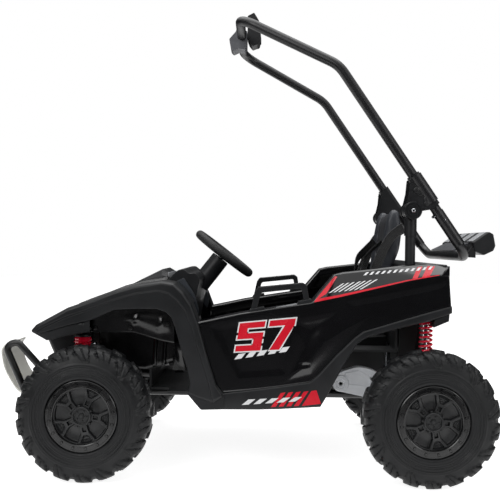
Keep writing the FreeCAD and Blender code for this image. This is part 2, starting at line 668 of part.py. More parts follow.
def front_arm_shape():
    """Two tubes from the rail to a yoke whose ears hold the kingpin."""
    yoke_y = -cell.kingpin_half_width + cell.knuckle_width / 2 + cell.fit_gap + cell.yoke_plate
    reach = cell.knuckle_width
    ear_depth = yoke_y + cell.kingpin_half_width + cell.knuckle_width / 2
    half = cell.knuckle_width / 2
    low = cell.kingpin_low - cell.yoke_plate
    ear_corner = Vector(front_axle_x - half, yoke_y - ear_depth, low)
    ear = Part.makeBox(reach, ear_depth, cell.yoke_plate, ear_corner)
    high_ear = ear.translated(along_z * (knuckle_height + cell.yoke_plate))
    height = knuckle_height + 2 * cell.yoke_plate
    back_corner = Vector(front_axle_x - half, yoke_y - cell.yoke_plate, low)
    back = Part.makeBox(reach, cell.yoke_plate, height, back_corner)
    outer = Vector(front_axle_x, yoke_y + cell.arm_tube / 4, cell.kingpin_low + cell.arm_tube)
    tubes = [rod(spot(*root, -cell.rail_half_width), outer, cell.arm_tube / 2) for root in arm_root_shares]
    pad_start = front_tower_x - cell.shock_diameter / 2
    pad = Part.makeBox(front_axle_x - pad_start, cell.shock_diameter, cell.yoke_plate,
                       Vector(pad_start, -cell.front_shock_half_width - cell.shock_diameter / 2,
                              cell.kingpin_low + cell.arm_tube))
    bore = Part.makeCylinder(cell.kingpin_diameter / 2 + cell.fit_gap, height,
                             Vector(front_axle_x, -cell.kingpin_half_width, low))
    return ear.fuse([high_ear, back, pad] + tubes).cut(bore)


front_arm = front_arm_shape().cut(chassis.Shape)
feature("front_arms", across(front_arm))


def knuckle_shape(sign):
    """Block on its kingpin, with the stub axle outside and the steering arm behind."""
    y = sign * cell.kingpin_half_width
    half = cell.knuckle_width / 2
    clear = cell.fit_gap
    block_foot = Vector(front_axle_x, y, cell.kingpin_low + clear)
    block = Part.makeCylinder(half, knuckle_height - 2 * clear, block_foot)
    pin = Part.makeCylinder(cell.kingpin_diameter / 2, knuckle_height + 2 * cell.yoke_plate,
                            Vector(front_axle_x, y, cell.kingpin_low - cell.yoke_plate))
    stub_end = sign * stub_end_y
    stub = rod(Vector(front_axle_x, y, axle_z), Vector(front_axle_x, stub_end, axle_z), cell.axle_diameter / 2)
    arm_z = cell.rod_height + cell.rod_diameter
    arm = Part.makeBox(cell.steer_arm + cell.steer_pin, cell.knuckle_width / 2, cell.steer_arm_thickness,
                       Vector(front_axle_x, y - cell.knuckle_width / 4, arm_z))
    eye_pin = Part.makeCylinder(cell.steer_pin / 2, 2 * cell.rod_diameter + cell.steer_arm_thickness,
                                Vector(front_axle_x + cell.steer_arm, y, cell.rod_height - cell.rod_diameter))
    return block.fuse([pin, stub, arm, eye_pin])


feature("knuckle_left", knuckle_shape(-1))
feature("knuckle_right", knuckle_shape(1))

# Steering shaft with a crank, and the track rod that its pin pushes sideways
shaft_length = rod_way.dot(shaft_down) - cell.crank_pin_length / 2
shaft_frame = Placement(wheel_centre, Rotation(shaft_back, shaft_down.cross(shaft_back), shaft_down, "XYZ"))


def steering_shaft_shape():
    """Shaft, crank plate at its lower end, and the pin that works in the track rod's fork."""
    radius = cell.shaft_diameter / 2
    shaft = Part.makeCylinder(radius, shaft_length, Vector(), along_z)
    plate = Part.makeBox(cell.crank_reach + cell.shaft_diameter, cell.shaft_diameter, cell.crank_plate,
                         Vector(-radius, -radius, shaft_length - cell.crank_plate))
    pin_foot = Vector(cell.crank_reach, 0, shaft_length)
    pin = Part.makeCylinder(cell.crank_pin / 2, cell.crank_pin_length, pin_foot)
    shape = shaft.fuse([plate, pin])
    shape.Placement = shaft_frame
    return shape.copy()


feature("steering_shaft", steering_shaft_shape())


def track_rod_shape():
    """Rod with a wide eye round each steering pin and a fork round the crank's pin."""
    radius = cell.rod_diameter / 2
    eye_inner = cell.steer_pin / 2 + cell.running_gap
    eye_outer = eye_inner + cell.rod_diameter / 3
    end_y = cell.kingpin_half_width
    shape = rod(rod_point - along_y * end_y, rod_point + along_y * end_y, radius)
    pieces = []
    bores = []
    for sign in (-1, 1):
        low = Vector(rod_point.x, sign * end_y, rod_point.z - radius)
        pieces.append(Part.makeCylinder(eye_outer, cell.rod_diameter, low))
        bores.append(Part.makeCylinder(eye_inner, cell.rod_diameter, low))
    depth = cell.crank_pin_length - 2 * cell.fork_gap
    start_x = cell.crank_reach / 3
    prong_start = Vector(start_x, cell.crank_pin / 2 + cell.fork_gap, shaft_length + cell.fork_gap)
    reach = cell.crank_reach + pin_to_rod - start_x
    prong = Part.makeBox(reach, cell.fork_prong, depth, prong_start)
    other = prong.mirror(Vector(), along_y)
    for piece in (prong, other):
        piece.Placement = shaft_frame.multiply(piece.Placement)
        pieces.append(piece)
    return shape.fuse(pieces).cut(bores)


feature("track_rod", track_rod_shape())


def steering_wheel_shape():
    """Grip ring, three flat spokes and a hub, in the plane across the shaft."""
    grip = cell.wheel_grip / 2
    mean = cell.wheel_ring_diameter / 2 - grip
    wheel = Part.makeTorus(mean, grip)
    pieces = [Part.makeCylinder(cell.column_shroud / 2, cell.wheel_grip, Vector(0, 0, -grip))]
    for angle in (0, 90, 270):
        spoke = Part.makeBox(mean, cell.wheel_grip, cell.skin, Vector(0, -grip, -cell.skin / 2))
        spoke.rotate(Vector(), along_z, angle)
        pieces.append(spoke)
    bore = Part.makeCylinder(cell.shaft_diameter / 2, cell.wheel_grip, Vector())
    shape = wheel.fuse(pieces).cut(bore)
    shape.Placement = shaft_frame
    return shape.copy()


feature("steering_wheel", steering_wheel_shape())

# Springs over dampers: front ones on the arms' pads, rear ones on the trailing arms
arm_pad_z = cell.kingpin_low + cell.arm_tube + cell.yoke_plate
rear_arm_top_share = 0.4


def shock_shape(foot, top_z, spring_share, diameter):
    """Damper body below and a sleeve the size of the coil above."""
    height = top_z - foot.z
    spring_foot = foot + along_z * (height * (1 - spring_share))
    body = Part.makeCylinder(cell.rear_shock_body / 2, spring_foot.z - foot.z, foot)
    coil = Part.makeCylinder(diameter / 2, top_z - spring_foot.z, spring_foot)
    return across(body.fuse(coil))


front_spring_share = 0.8
rear_spring_share = 0.62
front_shock_foot = Vector(front_tower_x, -cell.front_shock_half_width, arm_pad_z)
rear_shock_foot = spot(rear_tower_share, rear_arm_top_share, -cell.trailing_arm_half_width)
feature("front_shocks", shock_shape(front_shock_foot, cell.front_shock_top, front_spring_share,
                                    cell.front_spring_diameter))
feature("rear_shocks", shock_shape(rear_shock_foot, cell.rear_shock_top, rear_spring_share,
                                   cell.shock_diameter))

# Rear suspension: cast trailing arms on a cross shaft, with a stub axle and a gearbox each
rear_arm_shares = [(0.46, 0.43), (0.466, 0.482), (0.504, 0.506), (0.609, 0.532), (0.69, 0.52), (0.96, 0.4),
                   (1.1, 0.4), (1.11, 0.33), (1.04, 0.255), (0.95, 0.26), (0.645, 0.385), (0.491, 0.41)]


def rear_arm_shape():
    """Arm with its pivot bore and the fixed stub axle for the wheel."""
    inner_y = -cell.trailing_arm_half_width + cell.trailing_arm_width / 2
    outer_y = inner_y - cell.trailing_arm_width
    arm = prism(rear_arm_shares, outer_y, inner_y)
    hub_centre = Vector(rear_axle_x, inner_y, axle_z)
    stub = rod(hub_centre, Vector(rear_axle_x, -stub_end_y, axle_z), cell.axle_diameter / 2)
    pivot_start = spot(arm_pivot_x_share, arm_pivot_z_share, outer_y)
    boss = Part.makeCylinder(cell.trailing_boss / 2, cell.trailing_arm_width, pivot_start, along_y)
    pivot = Part.makeCylinder(cell.shaft_diameter / 2, cell.trailing_arm_width, pivot_start, along_y)
    return arm.fuse([stub, boss]).cut(pivot)


feature("rear_arms", across(rear_arm_shape()))
gearbox_shares = [(0.9, 0.25), (0.9, 0.42), (1.05, 0.42), (1.1, 0.36), (1.1, 0.25)]
gearbox_y = -cell.trailing_arm_half_width + cell.trailing_arm_width / 2
feature("rear_gearboxes", across(prism(gearbox_shares, gearbox_y, gearbox_y + cell.gearbox_width)))

# Battery: one block on the cabin floor, inside the seat base
battery = keep(doc.addObject("Part::Box", "battery"), "battery")
battery.setExpression("Length", "Sizes.battery_length")
battery.setExpression("Width", "Sizes.battery_width")
battery.setExpression("Height", "Sizes.battery_height")
hollow_text = f"{middle_text} + {seat_hollow_front_share} * Sizes.wheelbase / 2"
battery.setExpression("Placement.Base.x", f"{hollow_text} + Sizes.skin")
battery.setExpression("Placement.Base.y", "-Sizes.battery_width / 2")
battery.setExpression("Placement.Base.z", "Sizes.frame_height + Sizes.frame_tube / 2 + Sizes.floor_thickness")

# Accelerator pedal on the floor, at the right foot
pedal_shares = [(-0.58, floor_share), (-0.62, 0.52), (-0.6, 0.525), (-0.52, floor_share)]
pedal_y = cell.seat_back_half_width / 2
feature("accelerator_pedal", prism(pedal_shares, pedal_y, pedal_y + cell.pedal_width))

# Roll cage: one tube loop in two brackets that turn on the posts behind the seat
cage_rear_shares = (1.2521, 1.0841)
cage_elbow_shares = (0.4642, 2.0109)
cage_front_shares = (-0.1406, 2.2647)
hinge_shares = (0.908, 1.302)
cage_points = [spot(*cage_rear_shares, 0), spot(*cage_rear_shares, -cell.cage_rear_half_width),
               spot(*cage_elbow_shares, -cell.cage_elbow_half_width),
               spot(*cage_front_shares, -cell.cage_front_half_width), spot(*cage_front_shares, 0)]
cage_bend_radii = [cell.cage_rear_bend, cell.cage_elbow_bend, cell.cage_front_bend]
cage_radius = cell.cage_tube / 2
hinge = spot(*hinge_shares, -cell.post_half_width)
cage_half = bent_tube(cage_points, cage_bend_radii, cage_radius)
feature("cage_loop", cage_half.fuse(cage_half.mirror(Vector(), along_y)))
side_run = (cage_points[2] - cage_points[1]).normalize()


def on_side_run(z_share):
    """The point of the loop's straight side at a height."""
    rise = z_share * cell.shoulder_height - cage_points[1].z
    return cage_points[1] + side_run * (rise / side_run.z)


sleeve_top_share = 1.4787
sleeve_bottom_share = 1.326
sleeve_top = on_side_run(sleeve_top_share)
sleeve_bottom = on_side_run(sleeve_bottom_share)
gusset_shares = [(0.893, 1.452), (0.886, 1.387), (0.867, 1.32), (0.87, 1.302), (0.97, 1.302),
                 (1.0165, 1.3095), (1.06, 1.3262), (0.93, 1.4787)]
block_shares = [(0.93, 1.4787), (1.06, 1.3262), (1.034, 1.311), (0.9035, 1.4637)]
post_foot_share = 1.036


def bracket_shape():
    """Sleeve on the side tube, two cheeks beside the post's barrel, and the hinge pin."""
    inner = cell.hinge_length / 2 + cell.fit_gap
    outer = inner + cell.cheek_thickness
    pieces = []
    for sign in (-1, 1):
        near = hinge.y + sign * inner
        far = hinge.y + sign * outer
        disc_start = Vector(hinge.x, min(near, far), hinge.z)
        pieces.append(prism(gusset_shares, near, far))
        pieces.append(Part.makeCylinder(cell.hinge_diameter / 2, cell.cheek_thickness, disc_start, along_y))
    pieces.append(prism(block_shares, hinge.y - inner, hinge.y + inner))
    pieces.append(rod(hinge - along_y * outer, hinge + along_y * outer, cell.hinge_pin / 2))
    sleeve = rod(sleeve_bottom, sleeve_top, cell.bracket_sleeve / 2)
    bore = rod(cage_points[1], cage_points[2], cage_radius)
    return sleeve.fuse(pieces).cut(bore)


feature("cage_brackets", across(bracket_shape()))
doc.recompute()


def post_shape():
    """Tube on the deck with a wider sleeve and the barrel for the hinge pin."""
    foot = spot(hinge_shares[0], post_foot_share, hinge.y)
    tube = rod(foot, hinge, cage_radius)
    sleeve = rod(hinge - along_z * cell.post_sleeve_length, hinge, cell.post_sleeve / 2)
    barrel_start = hinge - along_y * (cell.hinge_length / 2)
    barrel_end = hinge + along_y * (cell.hinge_length / 2)
    barrel = rod(barrel_start, barrel_end, cell.hinge_diameter / 2 - cell.fork_gap)
    bore = rod(barrel_start, barrel_end, cell.hinge_pin / 2 + cell.fit_gap)
    return tube.fuse([sleeve, barrel]).cut([bore, rear_deck.Shape, shoulder_left.Shape])


feature("cage_posts", across(post_shape()))

# Rear light bar on a slanted steel plate with two holes, both carried by the loop's rear tube
bar_shares = [(1.329, 1.1534), (1.426, 1.2091), (1.454, 1.1968), (1.468, 1.1383), (1.456, 1.1129),
              (1.397, 1.0895), (1.335, 1.1115)]
outline_body("cage_light_bar", bar_shares, "-Sizes.bar_half_width", "Sizes.bar_half_width")
plate_shares = [(1.2326, 1.1043), (1.3304, 1.1434), (1.3289, 1.1534), (1.2266, 1.1133)]


def plate_shape():
    """Plate with a hole each side of the middle."""
    plate = prism(plate_shares, -cell.plate_half_width, cell.plate_half_width)
    low, high = spot(*plate_shares[0], 0), spot(*plate_shares[1], 0)
    normal = (high - low).cross(along_y).normalize()
    centre = (low + high) / 2
    holes = []
    for sign in (-1, 1):
        start = centre + along_y * (sign * cell.plate_hole_spacing / 2) - normal * cell.plate_hole
        holes.append(Part.makeCylinder(cell.plate_hole / 2, 3 * cell.plate_hole, start, normal))
    return plate.cut(holes)


feature("cage_plate", plate_shape())

# Lamp on the loop's front tube: a clamp block and a tilted housing behind it
clamp_shares = [(-0.225, 2.248), (-0.181, 2.289), (-0.174, 2.3127), (-0.104, 2.2915), (-0.104, 2.2131),
                (-0.118, 2.192), (-0.16, 2.197), (-0.196, 2.183), (-0.213, 2.1965)]
lamp_shares = [(-0.103, 2.2605), (-0.103, 2.376), (-0.06, 2.3946), (-0.026, 2.35), (-0.014, 2.28),
               (-0.009, 2.2476), (-0.035, 2.2202), (-0.068, 2.2101), (-0.091, 2.2333)]
front_tube = rod(cage_points[4] - along_y * cell.lamp_width, cage_points[4] + along_y * cell.lamp_width,
                 cage_radius)
clamp = prism(clamp_shares, -cell.lamp_width / 2, cell.lamp_width / 2).cut(front_tube)
feature("cage_lamp_clamp", clamp)
feature("cage_lamp", prism(lamp_shares, -cell.lamp_width / 2, cell.lamp_width / 2))

doc.recompute()
failed = [item.Label for item in doc.Objects if "Invalid" in item.State or "Error" in item.State]
if failed:
    raise RuntimeError(f"objects that did not compute: {failed}")
labels = [item.Label for item in subparts]
if len(set(labels)) != len(labels):
    raise RuntimeError("two sub-parts share a label")
for item in subparts:
    if item.Shape.isNull() or not item.Shape.isValid() or item.Shape.Volume <= 0:
        raise RuntimeError(f"{item.Label} has no valid solid")
os.makedirs("parts", exist_ok=True)
for item in subparts:
    item.Shape.exportStep(f"parts/{item.Label}.step")
print(len(subparts), "sub-parts written")
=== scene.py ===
import math

import bmesh
import bpy
import numpy as np
from mathutils import Matrix


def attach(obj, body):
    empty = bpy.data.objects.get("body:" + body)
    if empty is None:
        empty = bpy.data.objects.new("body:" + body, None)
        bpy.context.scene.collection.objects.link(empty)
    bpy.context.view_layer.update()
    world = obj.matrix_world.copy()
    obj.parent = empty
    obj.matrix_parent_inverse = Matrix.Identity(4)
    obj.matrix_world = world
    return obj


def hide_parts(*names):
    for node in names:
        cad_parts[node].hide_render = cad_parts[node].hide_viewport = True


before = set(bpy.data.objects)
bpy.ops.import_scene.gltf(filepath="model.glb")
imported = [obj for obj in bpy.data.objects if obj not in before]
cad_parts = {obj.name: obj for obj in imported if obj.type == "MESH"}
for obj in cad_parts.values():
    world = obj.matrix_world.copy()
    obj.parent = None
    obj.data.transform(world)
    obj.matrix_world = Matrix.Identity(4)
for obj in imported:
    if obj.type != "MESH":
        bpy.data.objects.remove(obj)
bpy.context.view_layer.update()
MM = 0.001

# Chassis: round steel tubes of 25 mm, bent, welded and powder coated in satin black.
# The tubes keep the frame's own solids; only their coat is made here.


def linear(code):
    """sRGB hex to linear: each channel over 255, then the standard's straight foot and power curve."""
    srgb = np.array([int(code[k:k + 2], 16) for k in (0, 2, 4)]) / 255
    rgb = np.where(srgb <= 0.04045, srgb / 12.92, ((srgb + 0.055) / 1.055) ** 2.4)
    return (*rgb.tolist(), 1.0)


def add(tree, kind, inputs=None, **settings):
    """Add a node, set its properties, then give each input its value or the socket that feeds it."""
    node = tree.nodes.new("ShaderNode" + kind)
    for name, value in settings.items():
        setattr(node, name, value)
    for name, value in (inputs or {}).items():
        if isinstance(value, bpy.types.NodeSocket):
            tree.links.new(value, node.inputs[name])
        else:
            node.inputs[name].default_value = value
    return node


def skin_of(name, dark, light, rough, patch, grain, height, **constants):
    """A coat whose colour and roughness wander over patches and whose relief has grains. Patches, grains and
    height are in millimetres."""
    material = bpy.data.materials.new(name)
    material.use_nodes = True
    tree = material.node_tree
    shader = tree.nodes["Principled BSDF"]
    for socket, value in constants.items():
        shader.inputs[socket.replace("_", " ")].default_value = value
    place = add(tree, "TexCoord").outputs["Object"]
    wander = add(tree, "TexNoise", {"Vector": place, "Scale": 1000 / patch, "Detail": 4.0}).outputs["Fac"]
    colour = add(tree, "Mix", {0: wander, 6: linear(dark), 7: linear(light)}, data_type="RGBA")
    rough_range = add(tree, "MapRange", {"Value": wander, "From Min": 0.3, "From Max": 0.7,
                                         "To Min": rough[0], "To Max": rough[1]})
    grains = add(tree, "TexNoise", {"Vector": place, "Scale": 1000 / grain, "Detail": 2.0}).outputs["Fac"]
    relief = add(tree, "Bump", {"Height": grains, "Strength": 1.0, "Distance": height * MM})
    tree.links.new(colour.outputs[2], shader.inputs["Base Color"])
    tree.links.new(rough_range.outputs["Result"], shader.inputs["Roughness"])
    tree.links.new(relief.outputs["Normal"], shader.inputs["Normal"])
    return material


def dress(nodes, material):
    """Give frame nodes a material in place of their plain one."""
    for name in nodes:
        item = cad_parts[name]
        item.data.materials.clear()
        item.data.materials.append(material)


# Powder coat flows into a fine orange peel of about 3 mm, so its highlights break up a little.
powder_coat = skin_of("powder_coat_satin_black", "070708", "0d0d0f", (0.3, 0.42), 60, 3, 0.03,
                      Specular_IOR_Level=0.5)
dress(["chassis_frame", "front_arms", "knuckle_left", "knuckle_right", "track_rod", "steering_shaft",
       "bumper_hoops", "rear_gearboxes", "cage_posts"], powder_coat)

# Wheels: hollow plastic tyres with knobby lugs that run from the tread down on to the sidewall.
# They are blow moulded in black polyethylene with a waxy, slightly scuffed surface.
HALF_BASE = 0.443
MIDDLE = 0.049
SHOULDER = 0.545
SIDES = (("left", -1), ("right", 1))
WHEELS = {f"{end}_{side}": (x, sign)
          for end, x in (("front", MIDDLE - HALF_BASE), ("rear", MIDDLE + HALF_BASE)) for side, sign in SIDES}
AXLE_HEIGHT = 0.175
TYRE_MID = 0.36
HALF_TYRE = 60


def grid(points, around=False, along=False, ends=False):
    """Quads between neighbours in a grid of points (rows, columns, 3). Around joins the last column to the
    first, along joins the last row to the first, and ends closes the first and last row with one face."""
    points = np.asarray(points, float)
    rows, columns = points.shape[:2]
    row, column = np.meshgrid(np.arange(rows - (not along)), np.arange(columns - (not around)), indexing="ij")
    near, far, beside = row * columns, (row + 1) % rows * columns, (column + 1) % columns
    faces = np.stack([near + column, near + beside, far + beside, far + column], -1).reshape(-1, 4).tolist()
    if ends:
        faces += [list(range(columns)), list(range((rows - 1) * columns, rows * columns))]
    return points.reshape(-1, 3), faces


def merged(shapes):
    """Several shapes as one: each one's faces count on from the points before it."""
    starts = np.cumsum([0] + [len(points) for points, faces in shapes])
    faces = [[k + int(start) for k in face] for start, (points, some) in zip(starts, shapes) for face in some]
    return np.concatenate([points for points, some in shapes]), faces


def on_side(shape, sign):
    """A shape as it is for the sign -1, and mirrored across the vehicle's middle plane for 1."""
    return shape[0] * (1, -sign, 1), shape[1]


def piece(name, shape, material, body, replaces=(), sharp=40, edge=0, wall=0, side=-1):
    """A mesh object from a shape, with a wall thickness and rounded edges in millimetres, on its body."""
    mesh = bpy.data.meshes.new(name)
    mesh.from_pydata(shape[0].tolist(), [], shape[1])
    work = bmesh.new()
    work.from_mesh(mesh)
    bmesh.ops.remove_doubles(work, verts=work.verts, dist=1e-6)
    bmesh.ops.recalc_face_normals(work, faces=work.faces)
    work.to_mesh(mesh)
    work.free()
    mesh.shade_smooth()
    mesh.materials.append(material)
    item = bpy.data.objects.new(name, mesh)
    bpy.context.scene.collection.objects.link(item)
    if wall:
        shell = item.modifiers.new("wall", "SOLIDIFY")
        shell.thickness, shell.offset, shell.use_even_offset = wall * MM, side, True
    if edge:
        bevel = item.modifiers.new("edge", "BEVEL")
        bevel.width, bevel.segments, bevel.limit_method = edge * MM, 3, "ANGLE"
        bevel.angle_limit, bevel.harden_normals = math.radians(28), True
    else:
        mesh.set_sharp_from_angle(angle=math.radians(sharp))
    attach(item, body)
    if replaces:
        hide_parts(*replaces)
    return item


def lathe(profile, count):
    """A profile of radius and distance along the axle, in millimetres, turned round it in equal steps."""
    radius, along_axle = np.asarray(profile, float).T * MM
    angle = np.linspace(0, 2 * np.pi, count, endpoint=False)[:, None]
    points = np.stack([radius * np.cos(angle), np.broadcast_to(along_axle, (count, len(radius))),
                       radius * np.sin(angle)], -1)
    return grid(points, along=True)


def smooth_step(value, low, high):
    """0 below low, 1 above high, and the cubic 3t^2 - 2t^3 between them."""
    t = np.clip((value - low) / (high - low), 0, 1)
    return t * t * (3 - 2 * t)


def tyre_side(count=396):
    """Half a tyre on its -Y side. The profile of radius and width is cut at fixed lengths from the tread's
    middle; each point then moves along the profile's normal by ring relief plus lug height times lug mask."""
    profile = np.array([(168.7, 0), (168.7, -18), (167.5, -31), (163.5, -41), (156.5, -48.5),
                        (147.5, -53.5), (138.5, -56.4), (134, -57.4), (131.5, -59.6), (106, -59.8),
                        (104, -59.2), (102, -59.9), (97, -59.2), (93.5, -56.5), (91.7, -51)], float)
    steps = np.hypot(*np.diff(profile, axis=0).T)
    length = np.concatenate([[0], np.cumsum(steps)])
    cuts = np.concatenate([np.linspace(0, 80, 35), np.linspace(81.5, 108, 20),
                           np.linspace(110, length[-1], 8)])
    radius, width = (np.interp(cuts, length, profile[:, k]) for k in (0, 1))
    run = np.gradient(np.stack([radius, width]), cuts, axis=1)
    run = run / np.hypot(*run)
    outward = np.stack([-run[1], run[0]])
    turn = np.arange(count)[:, None] * 360 / count
    pitch = 20
    index = np.floor(turn / pitch)
    reach = np.where(index % 2 == 0, 75.0, 64.0)
    middle = pitch * index + pitch / 2 + 3.8 * np.sin(cuts * np.pi / 58) - 1.5
    half = np.interp(cuts, [3, 12, 26, 42, 56, 66, 76], [1.5, 4.2, 6.6, 7.0, 5.6, 4.4, 2.6])
    inside = (half - np.abs(turn - middle)) * np.pi / 180 * radius
    mask = smooth_step(inside, -0.9, 1.5) * smooth_step(cuts, 2, 4.5) * smooth_step(reach - cuts, 0, 4)
    slit = smooth_step(np.abs(turn - middle) * np.pi / 180 * radius, 0.9, 2.2)
    mask *= 1 - 0.55 * (1 - slit) * smooth_step(cuts, 33, 38)
    spur = smooth_step(2.2 - np.abs((turn - middle - half - 2.1) * np.pi / 180 * radius), -0.8, 1)
    mask = np.maximum(mask, 0.55 * spur * smooth_step(cuts, 30, 36) * smooth_step(60 - cuts, 0, 5))
    height = np.interp(cuts, [0, 34, 46, 58, 70, 76], [6.3, 6.5, 6.6, 5.2, 3.4, 2.4])
    rings = 0.7 * np.cos(2 * np.pi * (radius - 109) / 3.4) * (radius > 109) * (radius < 129)
    lift = height * mask + rings
    radius = np.minimum(radius + outward[0] * lift, AXLE_HEIGHT / MM)
    width = np.maximum(width + outward[1] * lift, -HALF_TYRE)
    angle = np.radians(turn)
    points = np.stack([radius * np.cos(angle), np.broadcast_to(width, lift.shape),
                       radius * np.sin(angle)], -1)
    return grid(points * MM, along=True)


def turned(shape, degrees):
    """A shape turned about the wheel's axle."""
    c, s = math.cos(math.radians(degrees)), math.sin(math.radians(degrees))
    return shape[0] @ np.array([[c, 0, s], [0, 1, 0], [-s, 0, c]]), shape[1]


def placed(shape, wheel):
    """A shape made round the origin, its face towards -Y, set on a wheel's axle facing outwards."""
    x, sign = WHEELS[wheel]
    return shape[0] * np.array([-sign, -sign, 1]) + np.array([x, sign * TYRE_MID, AXLE_HEIGHT]), shape[1]


outer_side = tyre_side()
inner_side = turned(on_side(outer_side, 1), 10)
tyre = merged([outer_side, inner_side])
# Polyethylene has a waxy sheen, with paler scuffs and dust held in a grain of about a millimetre.
tyre_black = skin_of("moulded_tyre_black", "090a0b", "131416", (0.4, 0.6), 25, 1.2, 0.12,
                     Specular_IOR_Level=0.3)
for wheel in WHEELS:
    piece(f"tyre_skin_{wheel}", placed(tyre, wheel), tyre_black, f"wheel_{wheel}",
          [f"tyre_{wheel}"])

# Rims: injection moulded in black, with a gloss bead ring held by sixteen bolts, a recessed face of five
# forked spokes between closed pockets, and a round hub ring with small bolts about the axle nut.
SPOKE_ANGLE = 66


def rim_face(count=360):
    """The face between hub and bead ring as depth over radius and angle. Within each fifth of a turn, a is
    the distance along the spoke and b across it; a stem and two fork arms stand proud of pockets and fans."""
    radius = np.concatenate([np.linspace(23, 70, 44), [71.5]])
    angle = np.linspace(0, 360, count, endpoint=False)[:, None]
    local = np.radians((angle - SPOKE_ANGLE + 36) % 72 - 36)
    a, b = radius * np.cos(local), np.abs(radius * np.sin(local))
    stem = np.minimum(8.6 + 0.05 * (a - 24) - b, 50 - a)
    t = np.clip(((a - 43) * 27 + (b - 5) * 17) / (27 ** 2 + 17 ** 2), 0, 1)
    arm = 3.9 - np.hypot(a - 43 - 27 * t, b - 5 - 17 * t)
    solid = np.maximum(np.maximum(stem, arm), radius - 68.5 + 0 * b)
    solid = np.maximum(solid, 27 - radius + 0 * b)
    depth = 10.5 * (1 - smooth_step(solid, -2.2, 0.8))
    fan = np.minimum(a - 50, (a - 43) * 17 / 27 + 5 - b)
    depth -= 4.5 * smooth_step(fan, -1, 2) * (1 - smooth_step(solid, -2.2, 0.8))
    rib = np.minimum(fan - 3, 1.2 - np.abs((radius - 58) % 5 - 2.5))
    depth += 1.2 * smooth_step(rib, -0.5, 0.5) * (fan > 2)
    slot = np.minimum(np.minimum(a - 30, 40.5 - a), 4.6 - b)
    depth += 7 * smooth_step(slot, -0.6, 0.9)
    bowl = 2.2 * np.exp(-((radius - 50) / 14) ** 2)
    angle = np.radians(angle)
    points = np.stack([radius * np.cos(angle), -50.5 + depth + bowl, radius * np.sin(angle)], -1)
    return grid(points * MM, along=True)


def hex_heads(count, circle, size, face, height, offset=0):
    """Six-sided bolt heads with a chamfer, on a circle round the axle, standing out of a face."""
    heads = []
    corner = np.radians(np.arange(6) * 60)[None, :]
    ring = np.array([(1, 0), (1, 0.65), (0.78, 1)])
    for k in range(count):
        at = math.radians(offset + 360 * k / count)
        x = circle * math.cos(at) + size * ring[:, :1] * np.cos(corner + at)
        z = circle * math.sin(at) + size * ring[:, :1] * np.sin(corner + at)
        y = face - height * ring[:, 1:] + 0 * corner
        heads.append(grid(np.stack([x, y, z], -1) * MM, around=True, ends=True))
    return merged(heads)


bead_ring = lathe([(91.5, -50), (91.8, -54), (91, -56.6), (89, -57.8), (86.5, -57.8), (85.8, -57.2),
                   (77.2, -57.2), (76.5, -57.8), (74, -57.8), (72.3, -56.8), (71.4, -54.5), (71.5, -39)], 192)
barrel = lathe([(91.5, -50), (91.7, 52), (83.7, 52), (83.7, -36), (24, -36), (24, -7), (7.8, -7),
                (7.8, -37)], 96)
hub_cap = lathe([(0, -50.5), (18.6, -50.5), (19.4, -51), (19.8, -56.6), (20.8, -57.9), (23.2, -57.9),
                 (24.4, -56.8), (25, -54), (25.4, -49.5), (25.4, -38)], 120)
bosses = hex_heads(5, 27.5, 3.4, -46, 8.5, SPOKE_ANGLE + 36)
small_nuts = hex_heads(5, 13.2, 2.6, -50, 3.4, SPOKE_ANGLE)
axle_end = lathe([(0, -55.6), (3.2, -55.6), (3.8, -55), (3.8, -50)], 32)
axle_nut = merged([hex_heads(1, 0, 7.6, -50, 4.4), axle_end])
face_parts = merged([rim_face(), barrel, hub_cap, bosses, small_nuts, axle_nut])
ring_parts = merged([bead_ring, hex_heads(16, 81.5, 3.9, -56.8, 3.0, 9)])
# ABS from a polished mould reads nearly black with a clear highlight; the etched face reads a tone lighter.
rim_gloss = skin_of("moulded_abs_gloss_rim", "060607", "0a0a0b", (0.16, 0.26), 40, 6, 0.01)
rim_satin = skin_of("moulded_abs_satin_rim", "0b0c0d", "121315", (0.38, 0.5), 30, 1.5, 0.03)
for wheel in WHEELS:
    piece(f"rim_face_{wheel}", placed(face_parts, wheel), rim_satin, f"wheel_{wheel}",
          [f"rim_{wheel}"], sharp=30)
    piece(f"rim_ring_{wheel}", placed(ring_parts, wheel), rim_gloss, f"wheel_{wheel}",
          sharp=30)

# Springs: steel coils over dampers. The front pair is coated bright red and close wound under black caps,
# with a chrome acorn nut on each kingpin beside it. The rear pair has thin red wire, a chrome damper
# rod and a chrome body on the cast arm.


def tube(path, radius, sides=12, up=(0, 1, 0)):
    """A round section carried along a path of points: at each one the circle lies across the tangent."""
    path = np.asarray(path, float)
    tangent = np.gradient(path, axis=0)
    tangent /= np.linalg.norm(tangent, axis=1)[:, None]
    across = np.cross(tangent, np.asarray(up, float))
    across /= np.linalg.norm(across, axis=1)[:, None]
    over = np.cross(across, tangent)
    turn = np.linspace(0, 2 * np.pi, sides, endpoint=False)[:, None]
    points = path[:, None] + radius * (across[:, None] * np.cos(turn) + over[:, None] * np.sin(turn))
    return grid(points, around=True, ends=True)


def coil(centre, low, high, radius, wire, turns):
    """A helix round an upright line: height rises with the angle, and the end turns lie flat."""
    turn = np.linspace(0, 2 * np.pi * (turns + 1.5), int(26 * (turns + 1.5)))
    rise = np.clip((turn / (2 * np.pi) - 0.75) / turns, 0, 1)
    height = low + wire + (high - low - 2 * wire) * rise
    path = np.stack([centre[0] + radius * np.cos(turn), centre[1] + radius * np.sin(turn), height], -1)
    return tube(path, wire, 8, up=(0, 0, 1))


